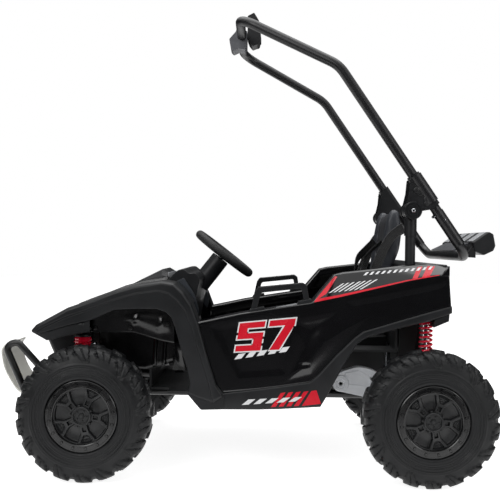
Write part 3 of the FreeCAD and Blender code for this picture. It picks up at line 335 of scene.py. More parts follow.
def post(centre, profile, count=48):
    """A profile of radius and height, in millimetres, turned round an upright line."""
    radius, height = np.asarray(profile, float).T
    angle = np.linspace(0, 2 * np.pi, count, endpoint=False)[:, None]
    points = np.stack([centre[0] + radius * MM * np.cos(angle), centre[1] + radius * MM * np.sin(angle),
                       np.broadcast_to(height * MM, (count, len(radius)))], -1)
    return grid(points, along=True)


# Gloss powder coat over steel wire: clean red with a hard highlight.
spring_red = skin_of("powder_coat_gloss_red", "d80826", "f21440", (0.2, 0.3), 20, 4, 0.02, Coat_Weight=0.4)
# Chrome over polished steel mirrors the pale studio, with faint haze.
chrome = skin_of("bright_chrome", "b9bcc0", "d4d6d9", (0.06, 0.16), 15, 2, 0.004, Metallic=1.0)
FRONT_SHOCK_X = MIDDLE - 1.083 * HALF_BASE
REAR_SHOCK_X = MIDDLE + 1.02 * HALF_BASE
FRONT_PAD = 159
REAR_PAD = 0.4 * SHOULDER * 1000
KINGPIN_Y = 0.268
front_body = [(0, FRONT_PAD), (11, FRONT_PAD), (11, 205), (20, 206), (23.6, 209), (11, 210), (9, 212),
              (9, 358), (0, 358)]
acorn_nut = [(0, 334), (9.5, 334), (9.5, 341), (7.5, 345.5), (4, 348), (0, 348.6)]
front_cap = [(0, 357.5), (22.5, 357.5), (23.8, 359), (23, 363.5), (18, 366), (0, 366)]
rear_body = [(0, REAR_PAD), (10.9, REAR_PAD), (10.9, 287), (12, 288), (18.6, 290), (18.9, 296), (12, 296.5),
             (6.5, 300), (5.5, 302), (5.5, 408), (14, 411), (18, 414), (17, 418), (0, 418)]
front_coils, front_dampers, front_caps, rear_coils, rear_dampers = [], [], [], [], []
for sign in (-1, 1):
    front, rear = (FRONT_SHOCK_X, sign * 0.234), (REAR_SHOCK_X, sign * 0.249)
    front_coils.append(coil(front, 0.207, 0.358, 0.0186, 0.0056, 11.5))
    front_dampers.append(post(front, front_body))
    front_dampers.append(post((MIDDLE - HALF_BASE, sign * KINGPIN_Y), acorn_nut, 24))
    front_caps.append(post(front, front_cap))
    rear_coils.append(coil(rear, 0.297, 0.413, 0.0162, 0.0029, 9))
    rear_dampers.append(post(rear, rear_body))
piece("front_springs", merged(front_coils), spring_red, "body", ["front_shocks"])
piece("front_dampers", merged(front_dampers), chrome, "body")
piece("front_spring_caps", merged(front_caps), powder_coat, "body")
piece("rear_springs", merged(rear_coils), spring_red, "body", ["rear_shocks"])
piece("rear_dampers", merged(rear_dampers), chrome, "body")

# Trailing arms: die-cast alloy in silver-grey, ribbed along the side, turning on a round pivot boss.
# The casting carries the rear axle's stub and the foot of the spring.


def spot(x_share, z_share, y):
    """A point in metres from shares of half the wheelbase and of the shoulder height, in side view."""
    return np.array([MIDDLE + x_share * HALF_BASE, y, z_share * SHOULDER])


def spots(shares, y):
    """A side-view line of shares at one distance, or at one distance each, across the vehicle."""
    x_share, z_share = np.asarray(shares, float).T
    return np.stack([MIDDLE + x_share * HALF_BASE, np.broadcast_to(np.asarray(y, float), x_share.shape),
                     z_share * SHOULDER], -1)


def rounded(outline, radius, steps=5):
    """A closed line of points with each corner replaced by an arc of up to that radius, held to a third of
    the shorter side beside it. The arc is the quadratic curve from one side to the other past the corner."""
    outline = np.asarray(outline, float)
    before, after = np.roll(outline, 1, 0) - outline, np.roll(outline, -1, 0) - outline
    sides = [np.linalg.norm(way, axis=1) for way in (before, after)]
    cut = np.minimum(radius, np.minimum(*sides) / 3)[:, None]
    start, end = outline + before / sides[0][:, None] * cut, outline + after / sides[1][:, None] * cut
    t = np.linspace(0, 1, steps)[:, None]
    curve = (start[:, None] * (1 - t) ** 2 + 2 * outline[:, None] * t * (1 - t) + end[:, None] * t ** 2)
    return curve.reshape(-1, outline.shape[1])


def slab(shares, near, far, corner=0.0):
    """A closed side-view outline carried straight across from one distance to another."""
    outline = spots(shares, 0)
    if corner:
        outline = rounded(outline, corner)
    return grid(np.stack([outline + (0, near, 0), outline + (0, far, 0)]), around=True, ends=True)


def disc(centre, profile, sign=1, count=48):
    """A profile of radius and distance outwards along Y, in millimetres, turned round a point's Y line."""
    points, faces = lathe(profile, count)
    return points * (1, sign, 1) + centre, faces


# Cast aluminium keeps a fine sand texture and a soft grey sheen.
cast_alloy = skin_of("cast_aluminium_arm", "d6d9de", "eaecef", (0.3, 0.46), 30, 1.5, 0.08, Metallic=0.1)
arm_shares = [(0.46, 0.43), (0.466, 0.482), (0.504, 0.506), (0.609, 0.532), (0.69, 0.52), (0.96, 0.4),
              (1.1, 0.4), (1.11, 0.33), (1.04, 0.255), (0.95, 0.26), (0.645, 0.385), (0.491, 0.41)]
rib_lines = [[(0.53, 0.5), (0.61, 0.515), (0.95, 0.375), (0.95, 0.36), (0.61, 0.499), (0.53, 0.484)],
             [(0.55, 0.446), (0.64, 0.44), (0.96, 0.325), (0.96, 0.31), (0.64, 0.424), (0.55, 0.43)],
             [(0.68, 0.5), (0.7, 0.49), (0.7, 0.4), (0.68, 0.405)]]
pivot_boss = [(0, 228), (22, 228), (22, 268), (20.5, 270), (13, 270), (12, 268.5), (11, 268.5), (10, 270.5),
              (6, 270.5), (5, 268), (0, 268)]
stub_axle = [(0, 228), (26, 228), (26, 268), (24, 270), (7.5, 270), (7.5, 383), (0, 383)]
arms = []
for sign in (-1, 1):
    arms.append(slab(arm_shares, sign * 0.232, sign * 0.265, 0.012))
    arms += [slab(line, sign * 0.26, sign * 0.268) for line in rib_lines]
    arms.append(disc(spot(0.503, 0.449, 0), pivot_boss, sign))
    arms.append(disc(np.array([MIDDLE + HALF_BASE, 0, AXLE_HEIGHT]), stub_axle, sign))
piece("trailing_arms", merged(arms), cast_alloy, "body", ["rear_arms"], edge=1.2)
# A black steel plate beside the gearbox and a short chrome damper stand between the two arms.
plate = slab([(0.55, 0.39), (0.56, 0.55), (0.87, 0.55), (0.91, 0.39)], 0.112, 0.114)
piece("frame_plate", plate, powder_coat, "body")
damper = post((0.412, -0.15), [(0, 250), (9, 250), (9, 330), (12, 331), (12, 337), (9, 338), (9, 343),
                               (0, 343)])
piece("middle_damper", damper, chrome, "body")

# Side panels: each flank and shoulder is one moulded shell in gloss black, with a stamped hollow in the
# door, a raised haunch in front of the rear wheel and a fold at the crest, over into the cabin.


def spread(line, spans):
    """A line's points with each span cut into equal parts."""
    line = np.asarray(line, float)
    at = np.linspace(0, len(line) - 1, (len(line) - 1) * spans + 1)
    return np.stack([np.interp(at, np.arange(len(line)), line[:, k]) for k in range(3)], -1)


def loft(lines, spans=4, rows=1):
    """A sheet through character lines of equally many points: each span between points, and each step from
    one line to the next, is cut into equal parts."""
    sheet = np.stack([spread(line, spans) for line in lines])
    at = np.linspace(0, len(lines) - 1, (len(lines) - 1) * rows + 1)
    low = np.minimum(at.astype(int), len(lines) - 2)
    t = (at - low)[:, None, None]
    return sheet[low] * (1 - t) + sheet[low + 1] * t


def soften(sheet, rows, radius, steps=5):
    """A sheet with each named row turned into the quadratic curve between a point before it and one after,
    each up to the radius away and at most two fifths of the way to the next row."""
    parts = []
    t = np.linspace(0, 1, steps)[:, None, None]
    for k, line in enumerate(sheet):
        if k not in rows:
            parts.append(line[None])
            continue
        before, after = sheet[k - 1] - line, sheet[k + 1] - line
        ends = [line + way * (np.minimum(radius, 0.4 * size) / np.maximum(size, 1e-9))
                for way, size in ((w, np.linalg.norm(w, axis=1)[:, None]) for w in (before, after))]
        parts.append(ends[0] * (1 - t) ** 2 + 2 * line * t * (1 - t) + ends[1] * t ** 2)
    return np.concatenate(parts)


def dent(points, shares, depth, slope):
    """How deep points lie within a convex side-view outline: the cubic step of the distance to its nearest
    side over the slope's width, times the depth."""
    outline = spots(shares, 0)[:, [0, 2]]
    ahead = np.roll(outline, -1, 0) - outline
    inward = np.stack([-ahead[:, 1], ahead[:, 0]], -1) / np.linalg.norm(ahead, axis=1)[:, None]
    inward *= np.sign(((outline.mean(0) - outline) * inward).sum(1))[:, None]
    distance = ((points[..., None, [0, 2]] - outline) * inward).sum(-1).min(-1)
    return depth * MM * smooth_step(distance, 0, slope * MM)


sill_line = [(-0.235, 0.412), (0.0, 0.431), (0.126, 0.445), (0.309, 0.469), (0.366, 0.511), (0.463, 0.601),
             (0.569, 0.685), (0.62, 0.716), (0.85, 0.774), (1.02, 0.816), (1.13, 0.843)]
crest_line = [(-0.37, 0.746), (-0.108, 0.793), (0.1, 0.822), (0.309, 0.85), (0.395, 0.865), (0.479, 0.88),
              (0.58, 0.9), (0.672, 0.919), (0.869, 0.96), (1.0, 0.984), (1.118, 0.9966)]
ridge_line = [(-0.37, 0.747), (-0.108, 0.794), (0.1, 0.823), (0.311, 0.851), (0.449, 0.985), (0.5, 0.996),
              (0.59, 1.005), (0.7, 1.016), (0.869, 1.036), (0.995, 1.048), (1.118, 1.039)]


# Hollows of the flank as outline, depth and slope's width: a step behind the door, a small slot, the long
# flute under the crest and the door's own hollow. The haunch stands out instead.
flank_hollows = [([(0.19, 0.765), (0.47, 0.812), (0.42, 0.735), (0.3, 0.63), (0.27, 0.66)], 3.5, 30),
                 ([(0.245, 0.556), (0.286, 0.563), (0.302, 0.553), (0.281, 0.541)], 5, 3.5),
                 ([(0.5, 0.862), (1.125, 0.975), (1.125, 0.9), (0.75, 0.83), (0.55, 0.8)], 3, 40),
                 ([(-0.2, 0.6), (-0.29, 0.74), (0.05, 0.79), (0.24, 0.79), (0.17, 0.5), (-0.12, 0.48)],
                  2, 20)]
haunch = [(0.33, 0.73), (0.5, 0.775), (0.66, 0.79), (0.6, 0.72), (0.44, 0.59), (0.35, 0.505), (0.13, 0.46)]


def flank():
    """The left flank from the sill up to the crest, over the shoulder and down into the cabin: y is the
    panel's distance less the door's hollow, the slot and the long flute, plus the haunch."""
    low, high = spread(spots(sill_line, -0.33), 15), spread(spots(crest_line, -0.33), 15)
    lift, drop = np.array([0, 0, 0.006]), np.array([0, 0, 0.009])
    t = np.linspace(0, 1, 48)[:, None, None]
    face = (low + lift) * (1 - t) + (high - drop) * t
    for shares, depth, slope in flank_hollows:
        face[..., 1] += dent(face, shares, depth, slope)
    face[..., 1] -= dent(face, haunch, 4, 45)
    ridge = spread(spots(ridge_line, 0), 15)
    ridge[:, 1] = np.interp(high[:, 0], [MIDDLE + 0.3 * HALF_BASE, MIDDLE + 0.45 * HALF_BASE], [-0.324, -0.3])
    inner = ridge * (1, 0, 1) + (0, -0.262, 0)
    rows = [low * (1, 0, 1) + (0, -0.318, 0.001), low, *face, high, ridge, inner, inner - (0, 0, 0.03)]
    last = len(rows) - 1
    return soften(np.stack(rows), (1, last - 3, last - 2, last - 1), 0.005)


# Gloss ABS: a hard mirror-like coat over black, with the faint waviness of a big moulding.
gloss_black = skin_of("moulded_abs_gloss_black", "0a0a0b", "0f0f11", (0.09, 0.17), 120, 45, 0.06,
                      Coat_Weight=0.3, Coat_Roughness=0.05)
left_flank = grid(flank())
flank_corner = slab([(1.066, 0.988), (1.1195, 0.99), (1.1195, 1.037)], -0.3316, -0.3)
for name, sign in SIDES:
    piece(f"flank_{name}", on_side(left_flank, sign), gloss_black, "body",
          [f"side_panel_{name}", f"shoulder_{name}"], wall=3, side=0, sharp=60)
    piece(f"flank_corner_{name}", on_side(flank_corner, sign), gloss_black, "body", edge=1)

# Sill trims: matt grained polypropylene bands below the flanks that sweep up over the rear tyres.
# Their outer edge is rolled, and they clip behind the flank.
foot_line = [(-0.33, 0.337), (0.0, 0.34), (0.126, 0.344), (0.37, 0.358), (0.418, 0.425), (0.5, 0.552),
             (0.582, 0.664), (0.637, 0.692), (0.85, 0.744), (1.02, 0.779), (1.133, 0.8145)]
trim_top = [(-0.215, 0.409), (0.0, 0.432), (0.126, 0.446), (0.309, 0.47), (0.366, 0.512), (0.463, 0.602),
            (0.569, 0.686), (0.62, 0.717), (0.85, 0.775), (1.02, 0.817), (1.133, 0.8435)]
foot, top = np.asarray(foot_line), np.asarray(trim_top)
trim_rows = [spots(top, -0.329), spots(top, -0.336), spots(top * 0.5 + foot * 0.5, -0.336),
             spots(foot, -0.336), spots(foot, -0.3), spots(foot, -0.262)]
trim = grid(soften(loft(trim_rows, 8), (1, 3), 0.004))
# Polypropylene with a spark-eroded grain: charcoal, with a broad dull sheen.
grained_black = skin_of("grained_polypropylene_charcoal", "0e0f10", "18191c", (0.36, 0.52), 80, 1.1, 0.06,
                        Specular_IOR_Level=0.33)
arch_corner = slab([(1.035, 0.78), (1.124, 0.811), (1.12, 0.773), (1.032, 0.742)], -0.33, -0.275)
for name, sign in SIDES:
    piece(f"arch_corner_{name}", on_side(arch_corner, sign), grained_black, "body", edge=1)
    piece(f"sill_band_{name}", on_side(trim, sign), grained_black, "body",
          [f"sill_trim_{name}"], wall=3, side=0, sharp=60)

# Front fenders: grained shells with a raised band along the top edge, a deep arch over the steered wheel
# and a leg that turns down to the sill. The band is rolled over into the top skin.
band_top = [(-1.332, 0.703), (-1.308, 0.725), (-1.124, 0.809), (-0.981, 0.851), (-0.855, 0.893),
            (-0.73, 0.923), (-0.574, 0.943), (-0.505, 0.934), (-0.45, 0.893), (-0.398, 0.836),
            (-0.36, 0.757), (-0.3, 0.59), (-0.245, 0.45), (-0.205, 0.408)]
band_foot = [(-1.31, 0.695), (-1.275, 0.716), (-1.13, 0.773), (-0.994, 0.811), (-0.855, 0.857),
             (-0.73, 0.889), (-0.59, 0.905), (-0.53, 0.893), (-0.475, 0.857), (-0.43, 0.81),
             (-0.4, 0.752), (-0.335, 0.59), (-0.285, 0.46), (-0.255, 0.372)]
arch_line = [(-1.295, 0.687), (-1.25, 0.695), (-1.12, 0.727), (-0.985, 0.755), (-0.855, 0.806),
             (-0.73, 0.813), (-0.6, 0.814), (-0.548, 0.8), (-0.512, 0.775), (-0.49, 0.73),
             (-0.458, 0.64), (-0.416, 0.534), (-0.396, 0.461), (-0.41, 0.412)]
arch_return = [(x + 0.008, z + 0.01) for x, z in arch_line]


def fender():
    """From the hood's edge over the top skin, down the raised band, the step and the skirt, and round the
    arch's lip inwards."""
    top_in = spots(band_top, -0.214)
    shoulder = spots(band_top, -0.337)
    shoulder[:, 2] += 0.001
    edge = spots(band_top, -0.345)
    edge[:, 2] -= 0.004
    foot = spots(band_foot, -0.345)
    step = spots(band_foot, -0.3415)
    step[:, 2] -= 0.003
    arch = spots(arch_line, -0.341)
    lip = spots(arch_return, -0.325)
    skirt = soften(loft([shoulder, edge, foot, step, arch, lip], 6), (1, 2, 3, 4), 0.004)
    skin_part = loft([top_in[:10], spots(band_top, -0.3)[:10], shoulder[:10]], 6)
    leg = loft([spots(band_top, -0.262)[9:], shoulder[9:]], 6)
    back = loft([lip[8:], spots(arch_return, -0.262)[8:]], 6)
    return merged([grid(skirt), grid(skin_part), grid(leg), grid(back)])


# The leg's lower end widens into the sill's front corner.
toe = slab([(-0.41, 0.412), (-0.33, 0.337), (-0.2, 0.341), (-0.2, 0.41), (-0.24, 0.45), (-0.38, 0.45)],
           -0.262, -0.3405, 0.004)
left_fender = merged([fender(), toe])
for name, sign in SIDES:
    piece(f"fender_{name}", on_side(left_fender, sign), grained_black, "body",
          [f"front_fender_{name}"], wall=2.5, side=0, sharp=50)

# Hood: a gloss shell between the fenders with a long scoop in the middle, closed at the back by a pale
# insert, and two creases that run from the nose to the cowl.
hood_side = band_top[:7]


def across_line(x_share, z_share, ys, lifts):
    """One line across the vehicle: the same station with a list of distances and lifts in millimetres."""
    return np.stack([MIDDLE + x_share * HALF_BASE + 0 * np.asarray(ys, float), np.asarray(ys, float) * MM,
                     z_share * SHOULDER + np.asarray(lifts, float) * MM], -1)


def hood_skin():
    """Lines across the hood from nose to cowl, flat at the edges and crowned between two creases."""
    ys = [-212, -196, -188, -150, -138, -60, 0, 60, 138, 150, 188, 196, 212]
    rows = []
    for k, (x_share, z_share) in enumerate(hood_side):
        crown = min(1, 0.25 + 0.25 * k)
        lifts = np.array([0, 0.5, 5 * crown, 6 * crown, 1.5, 2.5, 3, 2.5, 1.5, 6 * crown, 5 * crown, 0.5, 0])
        rows.append(across_line(x_share, z_share, ys, lifts))
    return grid(loft(rows, 4, 5))


# Stations of the scoop: place along the vehicle, foot and top in shares, and half the width.
scoop_stations = [(-0.9, 0.874, 0.884, 84), (-0.8, 0.905, 0.925, 100), (-0.7, 0.925, 0.965, 112),
                  (-0.634, 0.932, 0.992, 118), (-0.598, 0.935, 0.975, 118)]


def scoop():
    """Lines round the scoop's section, rising from the hood to its open back edge."""
    rows = []
    for x_share, base, top, half in scoop_stations:
        low, high = base * SHOULDER * 1000, top * SHOULDER * 1000
        bend = low + 0.45 * (high - low)
        ys = np.array([-half, -half + 3, -half + 16, -half + 26, half - 26, half - 16, half - 3, half])
        zs = np.array([low, bend, high - 3, high, high, high - 3, bend, low])
        rows.append(np.stack([MIDDLE + x_share * HALF_BASE + 0 * ys, ys * MM, zs * MM], -1))
    return grid(soften(loft(rows, 5, 5), (), 0.004), ends=True)


# The scoop's back is a light grey insert in plain satin polypropylene.
pale_insert_and_highlight = skin_of("satin_polypropylene_pale_grey", "9fa1a4", "b4b6b9", (0.35, 0.5), 40, 2, 0.02)
piece("hood_shell", hood_skin(), gloss_black, "body", ["hood"], wall=2.5, side=0, sharp=50)
piece("hood_scoop", scoop(), grained_black, "body", edge=2)
insert = slab([(-0.6, 0.945), (-0.598, 0.974), (-0.592, 0.974), (-0.592, 0.945)], -0.104, 0.104)
piece("hood_scoop_insert", insert, pale_insert_and_highlight, "body", edge=1)
# Pale stripes on the hood's top beside the creases are painted highlights: the white glare of the gloss hood,
# drawn in the insert's pale grey.
stripes = []
for reach in ((-1.1, -0.95), (-0.93, -0.86), (-0.84, -0.6)):
    line = [(x_share, np.interp(x_share, *np.array(hood_side).T)) for x_share in reach]
    for sign in (-1, 1):
        near, far = spots(line, sign * 0.17), spots(line, sign * 0.146)
        stripes.append(grid(np.stack([near, far]) + (0, 0, 0.0068)))
piece("hood_bars", merged(stripes), pale_insert_and_highlight, "body", wall=0.4, side=0)

# Nose: a grained wedge under the fenders' fronts with a seam behind it, two slots a side, and a chin
# that tucks back between the front tyres.
nose_foot = [(-1.335, 0.694), (-1.248, 0.655), (-1.12, 0.682), (-0.995, 0.697)]
nose_top = [(-1.335, 0.704), (-1.24, 0.735), (-1.13, 0.775), (-0.995, 0.815)]


def nose_side():
    """The wedge's left face as a loft between its foot and the fender's band, with two pressed slots."""
    sheet = loft([spots(nose_foot, -0.262), spots(nose_foot, -0.334), spots(nose_top, -0.338)], 24, 12)
    sheet[..., 1] += dent(sheet, [(-1.13, 0.745), (-1.06, 0.755), (-1.0, 0.752), (-1.03, 0.735)], 4, 3)
    sheet[..., 1] += dent(sheet, [(-1.25, 0.71), (-1.22, 0.718), (-1.2, 0.708), (-1.215, 0.7)], 4, 3)
    return grid(soften(sheet, (12,), 0.006))


nose_left = nose_side()
chin = slab([(-1.335, 0.694), (-1.335, 0.704), (-1.24, 0.735), (-1.13, 0.755), (-1.13, 0.52),
             (-1.22, 0.5257), (-1.257, 0.5765), (-1.285, 0.612), (-1.304, 0.64)], -0.2135, 0.2135, 0.004)
front_face = slab([(-1.335, 0.694), (-1.335, 0.703), (-1.2, 0.74), (-1.2, 0.67), (-1.248, 0.655)],
                  -0.334, 0.334, 0.004)
nose_roof = slab([(-1.3, 0.7), (-1.3, 0.715), (-0.99, 0.825), (-0.99, 0.71)], -0.28, 0.28, 0.004)
for name, sign in SIDES:
    piece(f"nose_side_{name}", on_side(nose_left, sign), grained_black, "body",
          ["nose_panel"] if name == "left" else (), wall=2.5, side=0, sharp=50)
piece("nose_core", merged([chin, front_face, nose_roof]), grained_black, "body", edge=3)

# Inner fender panels: gloss black walls over the wheels with two stamped brackets and screw heads.
recess_top = [(-1.0, 0.82), (-0.86, 0.862), (-0.72, 0.888), (-0.58, 0.9), (-0.5, 0.88)]
recess_foot = [(-1.0, 0.693), (-0.86, 0.694), (-0.743, 0.693), (-0.58, 0.655), (-0.5, 0.644)]


# Stamped forms of the wall, as outline and slope's width, all 3 mm proud: a triangle and two brackets.
stampings = [([(-0.84, 0.765), (-0.72, 0.786), (-0.53, 0.78), (-0.51, 0.7), (-0.6, 0.69)], 14),
             ([(-0.76, 0.735), (-0.735, 0.775), (-0.715, 0.775), (-0.715, 0.74)], 4),
             ([(-0.62, 0.71), (-0.585, 0.76), (-0.565, 0.76), (-0.565, 0.715)], 4)]


def recess():
    """A wall from the arch's inner edge up to the skin, with a stamped triangle and two small brackets."""
    sheet = loft([spots(recess_foot, -0.262), spots(recess_foot, -0.3), spots(recess_top, -0.306)], 16, 16)
    for shares, slope in stampings:
        sheet[..., 1] -= dent(sheet, shares, 3, slope)
    return grid(soften(sheet, (16,), 0.006))


def inner_wall():
    """The upright wall beside the springs, lofted from the frame up to the recess, with two upright ribs."""
    foot_edge = [(-0.989, 0.5), (-0.85, 0.495), (-0.7, 0.49), (-0.6, 0.51), (-0.5, 0.53)]
    head_edge = [(-1.0, 0.83), (-0.86, 0.87), (-0.72, 0.9), (-0.6, 0.91), (-0.5, 0.91)]
    sheet = loft([spots(foot_edge, -0.208), spots(head_edge, -0.208)], 24, 16)
    for rib in ([(-0.66, 0.5), (-0.63, 0.9), (-0.61, 0.9), (-0.635, 0.5)],
                [(-0.6, 0.5), (-0.575, 0.9), (-0.555, 0.9), (-0.575, 0.5)]):
        sheet[..., 1] -= dent(sheet, rib, 4, 3)
    return grid(sheet)


# The screw heads are made on the right, so the piece named left is the one that stays there.
screw_head = [(0, 309.5), (3.2, 309.5), (4.6, 308), (4.8, 300), (0, 300)]
screws = merged([disc(spot(x_share, z_share, 0), screw_head)
                 for x_share, z_share in ((-0.975, 0.71), (-0.765, 0.712), (-0.54, 0.735))])
foot_wall = grid(np.stack([spots([(-0.52, 0.5), (-0.4, 0.5)], -0.259),
                           spots([(-0.52, 0.73), (-0.45, 0.74)], -0.259)]))
liner_left = merged([recess(), inner_wall(), foot_wall])
for name, sign in SIDES:
    piece(f"wheel_well_{name}", on_side(liner_left, sign), rim_gloss, "body",
          ["front_liner"], wall=2, side=0, sharp=50)
    piece(f"wheel_well_screws_{name}", on_side(screws, sign), powder_coat, "body")

# Dashboard: a grained cowl that closes the hood's back edge and reaches down inside the cabin, with a
# rounded top edge and slate cheeks at its sides.
slate = skin_of("moulded_abs_slate_grey", "25292e", "30353b", (0.36, 0.48), 50, 2, 0.03)
cowl = slab([(-0.575, 0.935), (-0.572, 0.944), (-0.508, 0.995), (-0.47, 0.997), (-0.438, 0.976),
             (-0.4, 0.981), (-0.371, 0.95), (-0.43, 0.7), (-0.47, 0.7), (-0.5, 0.9)], -0.2, 0.2, 0.008)
piece("cowl", cowl, grained_black, "body", ["dashboard"], edge=3)
cheek = slab([(-0.53, 0.93), (-0.47, 0.955), (-0.4, 0.87), (-0.372, 0.79), (-0.385, 0.742), (-0.43, 0.8)],
             -0.203, -0.21, 0.006)
for name, sign in SIDES:
    piece(f"cowl_cheek_{name}", on_side(cheek, sign), slate, "body", edge=1.5)

# Cabin tub and covers: vacuum-formed black sheet with a fine leather-like grain.
# The tub, its seat base, the rear box, the battery and the pedal keep the frame's own solids. The rear
# cover is one folded sheet in the trims' grained plastic.
cabin_sheet = skin_of("vacuum_formed_black_sheet", "0e0f10", "18191b", (0.45, 0.58), 60, 1.6, 0.08)
dress(["floor_tub", "seat_base", "rear_box", "accelerator_pedal", "battery"], cabin_sheet)
deck = slab([(0.87, 1.0366), (0.995, 1.051), (1.112, 1.039), (1.122, 0.861), (1.118, 0.769), (1.102, 0.769),
             (1.107, 0.861), (1.097, 1.023), (0.995, 1.036), (0.87, 1.0216)], -0.262, 0.262, 0.006)
piece("rear_cover", deck, grained_black, "body", ["rear_deck"], edge=2)

# Steering: a moulded shroud round the column, and a soft-grip wheel with three flat spokes and a round boss.
# The wheel leans back with the column.
shaft_down = np.array([-0.608852, 0.0, -0.793284])
shaft_back = np.array([0.793284, 0.0, -0.608852])
wheel_centre = np.array([-0.057984, 0.0, 0.586965])


def on_shaft(points):
    """Points given as back, sideways and down along the steering shaft, in metres from the wheel's centre.
    Back is square to the shaft, towards the rider."""
    back, sideways, down = (np.asarray(points, float)[..., k:k + 1] for k in range(3))
    return wheel_centre + back * shaft_back + sideways * (0, 1, 0) + down * shaft_down


def spun(profile, count=64):
    """A profile of radius and depth down the shaft, in millimetres, turned round the shaft."""
    radius, depth = np.asarray(profile, float).T * MM
    angle = np.linspace(0, 2 * np.pi, count, endpoint=False)[:, None]
    points = np.stack([radius * np.cos(angle), radius * np.sin(angle), 0 * angle + depth], -1)
    return grid(on_shaft(points), along=True)


shroud = spun([(8.5, 18), (26, 18), (27.6, 20), (28, 60), (28, 121), (8.5, 121)])
piece("column_shroud", shroud, grained_black, "body", ["steering_column"], edge=1.5)
grip_turn = np.linspace(0, 2 * np.pi, 96, endpoint=False)[:, None]
grip_round = np.linspace(0, 2 * np.pi, 24, endpoint=False)
grip_radius = 93 + 12 * np.cos(grip_round)
grip_depth = 12.5 * np.sin(grip_round) + 0 * grip_turn
grip_points = np.stack([grip_radius * np.cos(grip_turn), grip_radius * np.sin(grip_turn), grip_depth], -1)
grip = grid(on_shaft(grip_points * MM), around=True, along=True)


def spoke(degrees):
    """A flat spoke that widens towards the boss, as a short loft of four-sided sections."""
    c, s = math.cos(math.radians(degrees)), math.sin(math.radians(degrees))
    rows = []
    for reach, half, low, high in ((14, 17, -1, 9), (30, 13, -1, 7), (60, 11, -1.5, 5), (88, 12, -3, 4)):
        across = np.array([-half, half, half, -half]) * MM
        depth = np.array([low, low, high, high]) * MM
        out = reach * MM
        rows.append(on_shaft(np.stack([out * c - across * s, out * s + across * c, depth], -1)))
    return grid(np.stack(rows), around=True, ends=True)


boss = spun([(0, -10), (22, -10), (25, -7), (26.5, 2), (25, 11), (8.2, 11), (8.2, 0)])
# Soft-touch rubber over the rim: dull, with a fine pebble grain.
soft_rubber = skin_of("soft_touch_rubber_grip", "0a0a0b", "131314", (0.55, 0.7), 30, 1.4, 0.12)
piece("steering_grip", grip, soft_rubber, "steering", ["steering_wheel"])
piece("steering_spokes", merged([spoke(0), spoke(90), spoke(270), boss]), grained_black, "steering",
      edge=2)

# Seat: foam under black synthetic leather. The back has two forward bolsters round a set-back middle pad,
# and the cushion is one crowned pad.


def pad_shape(shares, near, far, corner, crown):
    """A side-view outline carried across in steps. Each section shrinks towards its middle at both ends as a
    fourth-power dome, so the pad is full in the middle and pulls in at its side seams."""
    outline = rounded(spots(shares, 0), corner, 7)
    middle = outline.mean(0)
    rows = []
    for t in np.linspace(-1, 1, 15):
        shrink = 1 - crown * t ** 4
        y = near + (far - near) * (t + 1) / 2
        rows.append((outline - middle) * (shrink, 1, shrink) + middle + (0, y, 0))
    return grid(np.stack(rows), around=True, ends=True)


def stuffed(name, shape, material, replaces=(), cap=0.006):
    """A pad that is remeshed to even voxels, swollen by cloth under inner pressure with its travel capped,
    and smoothed by one subdivision."""
    item = piece(name, shape, material, "body", replaces)
    voxels = item.modifiers.new("voxels", "REMESH")
    voxels.mode, voxels.voxel_size = "VOXEL", 0.005
    even = bpy.data.meshes.new_from_object(item.evaluated_get(bpy.context.evaluated_depsgraph_get()))
    item.modifiers.clear()
    item.data = even
    even.materials.clear()
    even.materials.append(material)
    rest = np.zeros(len(even.vertices) * 3)
    even.vertices.foreach_get("co", rest)
    cloth = item.modifiers.new("cloth", "CLOTH")
    cloth.settings.use_pressure = True
    cloth.settings.uniform_pressure_force = 4
    cloth.settings.effector_weights.gravity = 0
    for step in range(1, 16):
        bpy.context.scene.frame_set(step)
    swollen = bpy.data.meshes.new_from_object(item.evaluated_get(bpy.context.evaluated_depsgraph_get()))
    moved = np.zeros_like(rest)
    swollen.vertices.foreach_get("co", moved)
    item.modifiers.clear()
    bpy.context.scene.frame_set(1)
    travel = (moved - rest).reshape(-1, 3)
    size = np.linalg.norm(travel, axis=1)[:, None]
    capped = rest.reshape(-1, 3) + travel * np.minimum(1, cap / np.maximum(size, 1e-9))
    even.vertices.foreach_set("co", capped.ravel())
    smooth = item.modifiers.new("smooth", "SUBSURF")
    smooth.levels = smooth.render_levels = 1
    even.shade_smooth()
    return item


# Synthetic leather: pebbled grain of about 1.5 mm with a soft sheen on its tops.
leather = skin_of("synthetic_leather_black", "1d1e21", "2a2b2f", (0.4, 0.52), 45, 1.6, 0.18)
leather_grey = skin_of("synthetic_leather_slate_grey", "26282d", "34373d", (0.38, 0.5), 45, 1.6, 0.18)
pad_shares = [(0.155, 0.63), (0.15, 0.7), (0.2, 0.722), (0.67, 0.716), (0.685, 0.668)]
stuffed("seat_pad", pad_shape(pad_shares, -0.16, 0.16, 0.03, 0.08), leather, ["seat_cushion"])
back_shares = [(0.712, 0.672), (0.728, 0.76), (0.793, 1.0), (0.812, 1.187), (0.827, 1.29), (0.852, 1.325),
               (0.893, 1.318), (0.908, 1.232), (0.893, 1.125), (0.85, 1.04), (0.818, 0.985), (0.797, 0.675)]
middle_shares = [(x_share + 0.016, z_share - 0.006) for x_share, z_share in back_shares]
stuffed("seat_back_middle", pad_shape(middle_shares, -0.085, 0.085, 0.025, 0.03), leather,
        ["seat_back"])
for name, sign in SIDES:
    bolster = pad_shape(back_shares, *sorted((sign * 0.084, sign * 0.127)), 0.03, 0.1)
    stuffed(f"seat_bolster_{name}", bolster, leather_grey)

# Harness: 38 mm woven webbing. On each side one strap hangs on edge from the hinge post past the backrest,
# and one loops forward over the shoulder.
STRAP_WIDTH = 0.038


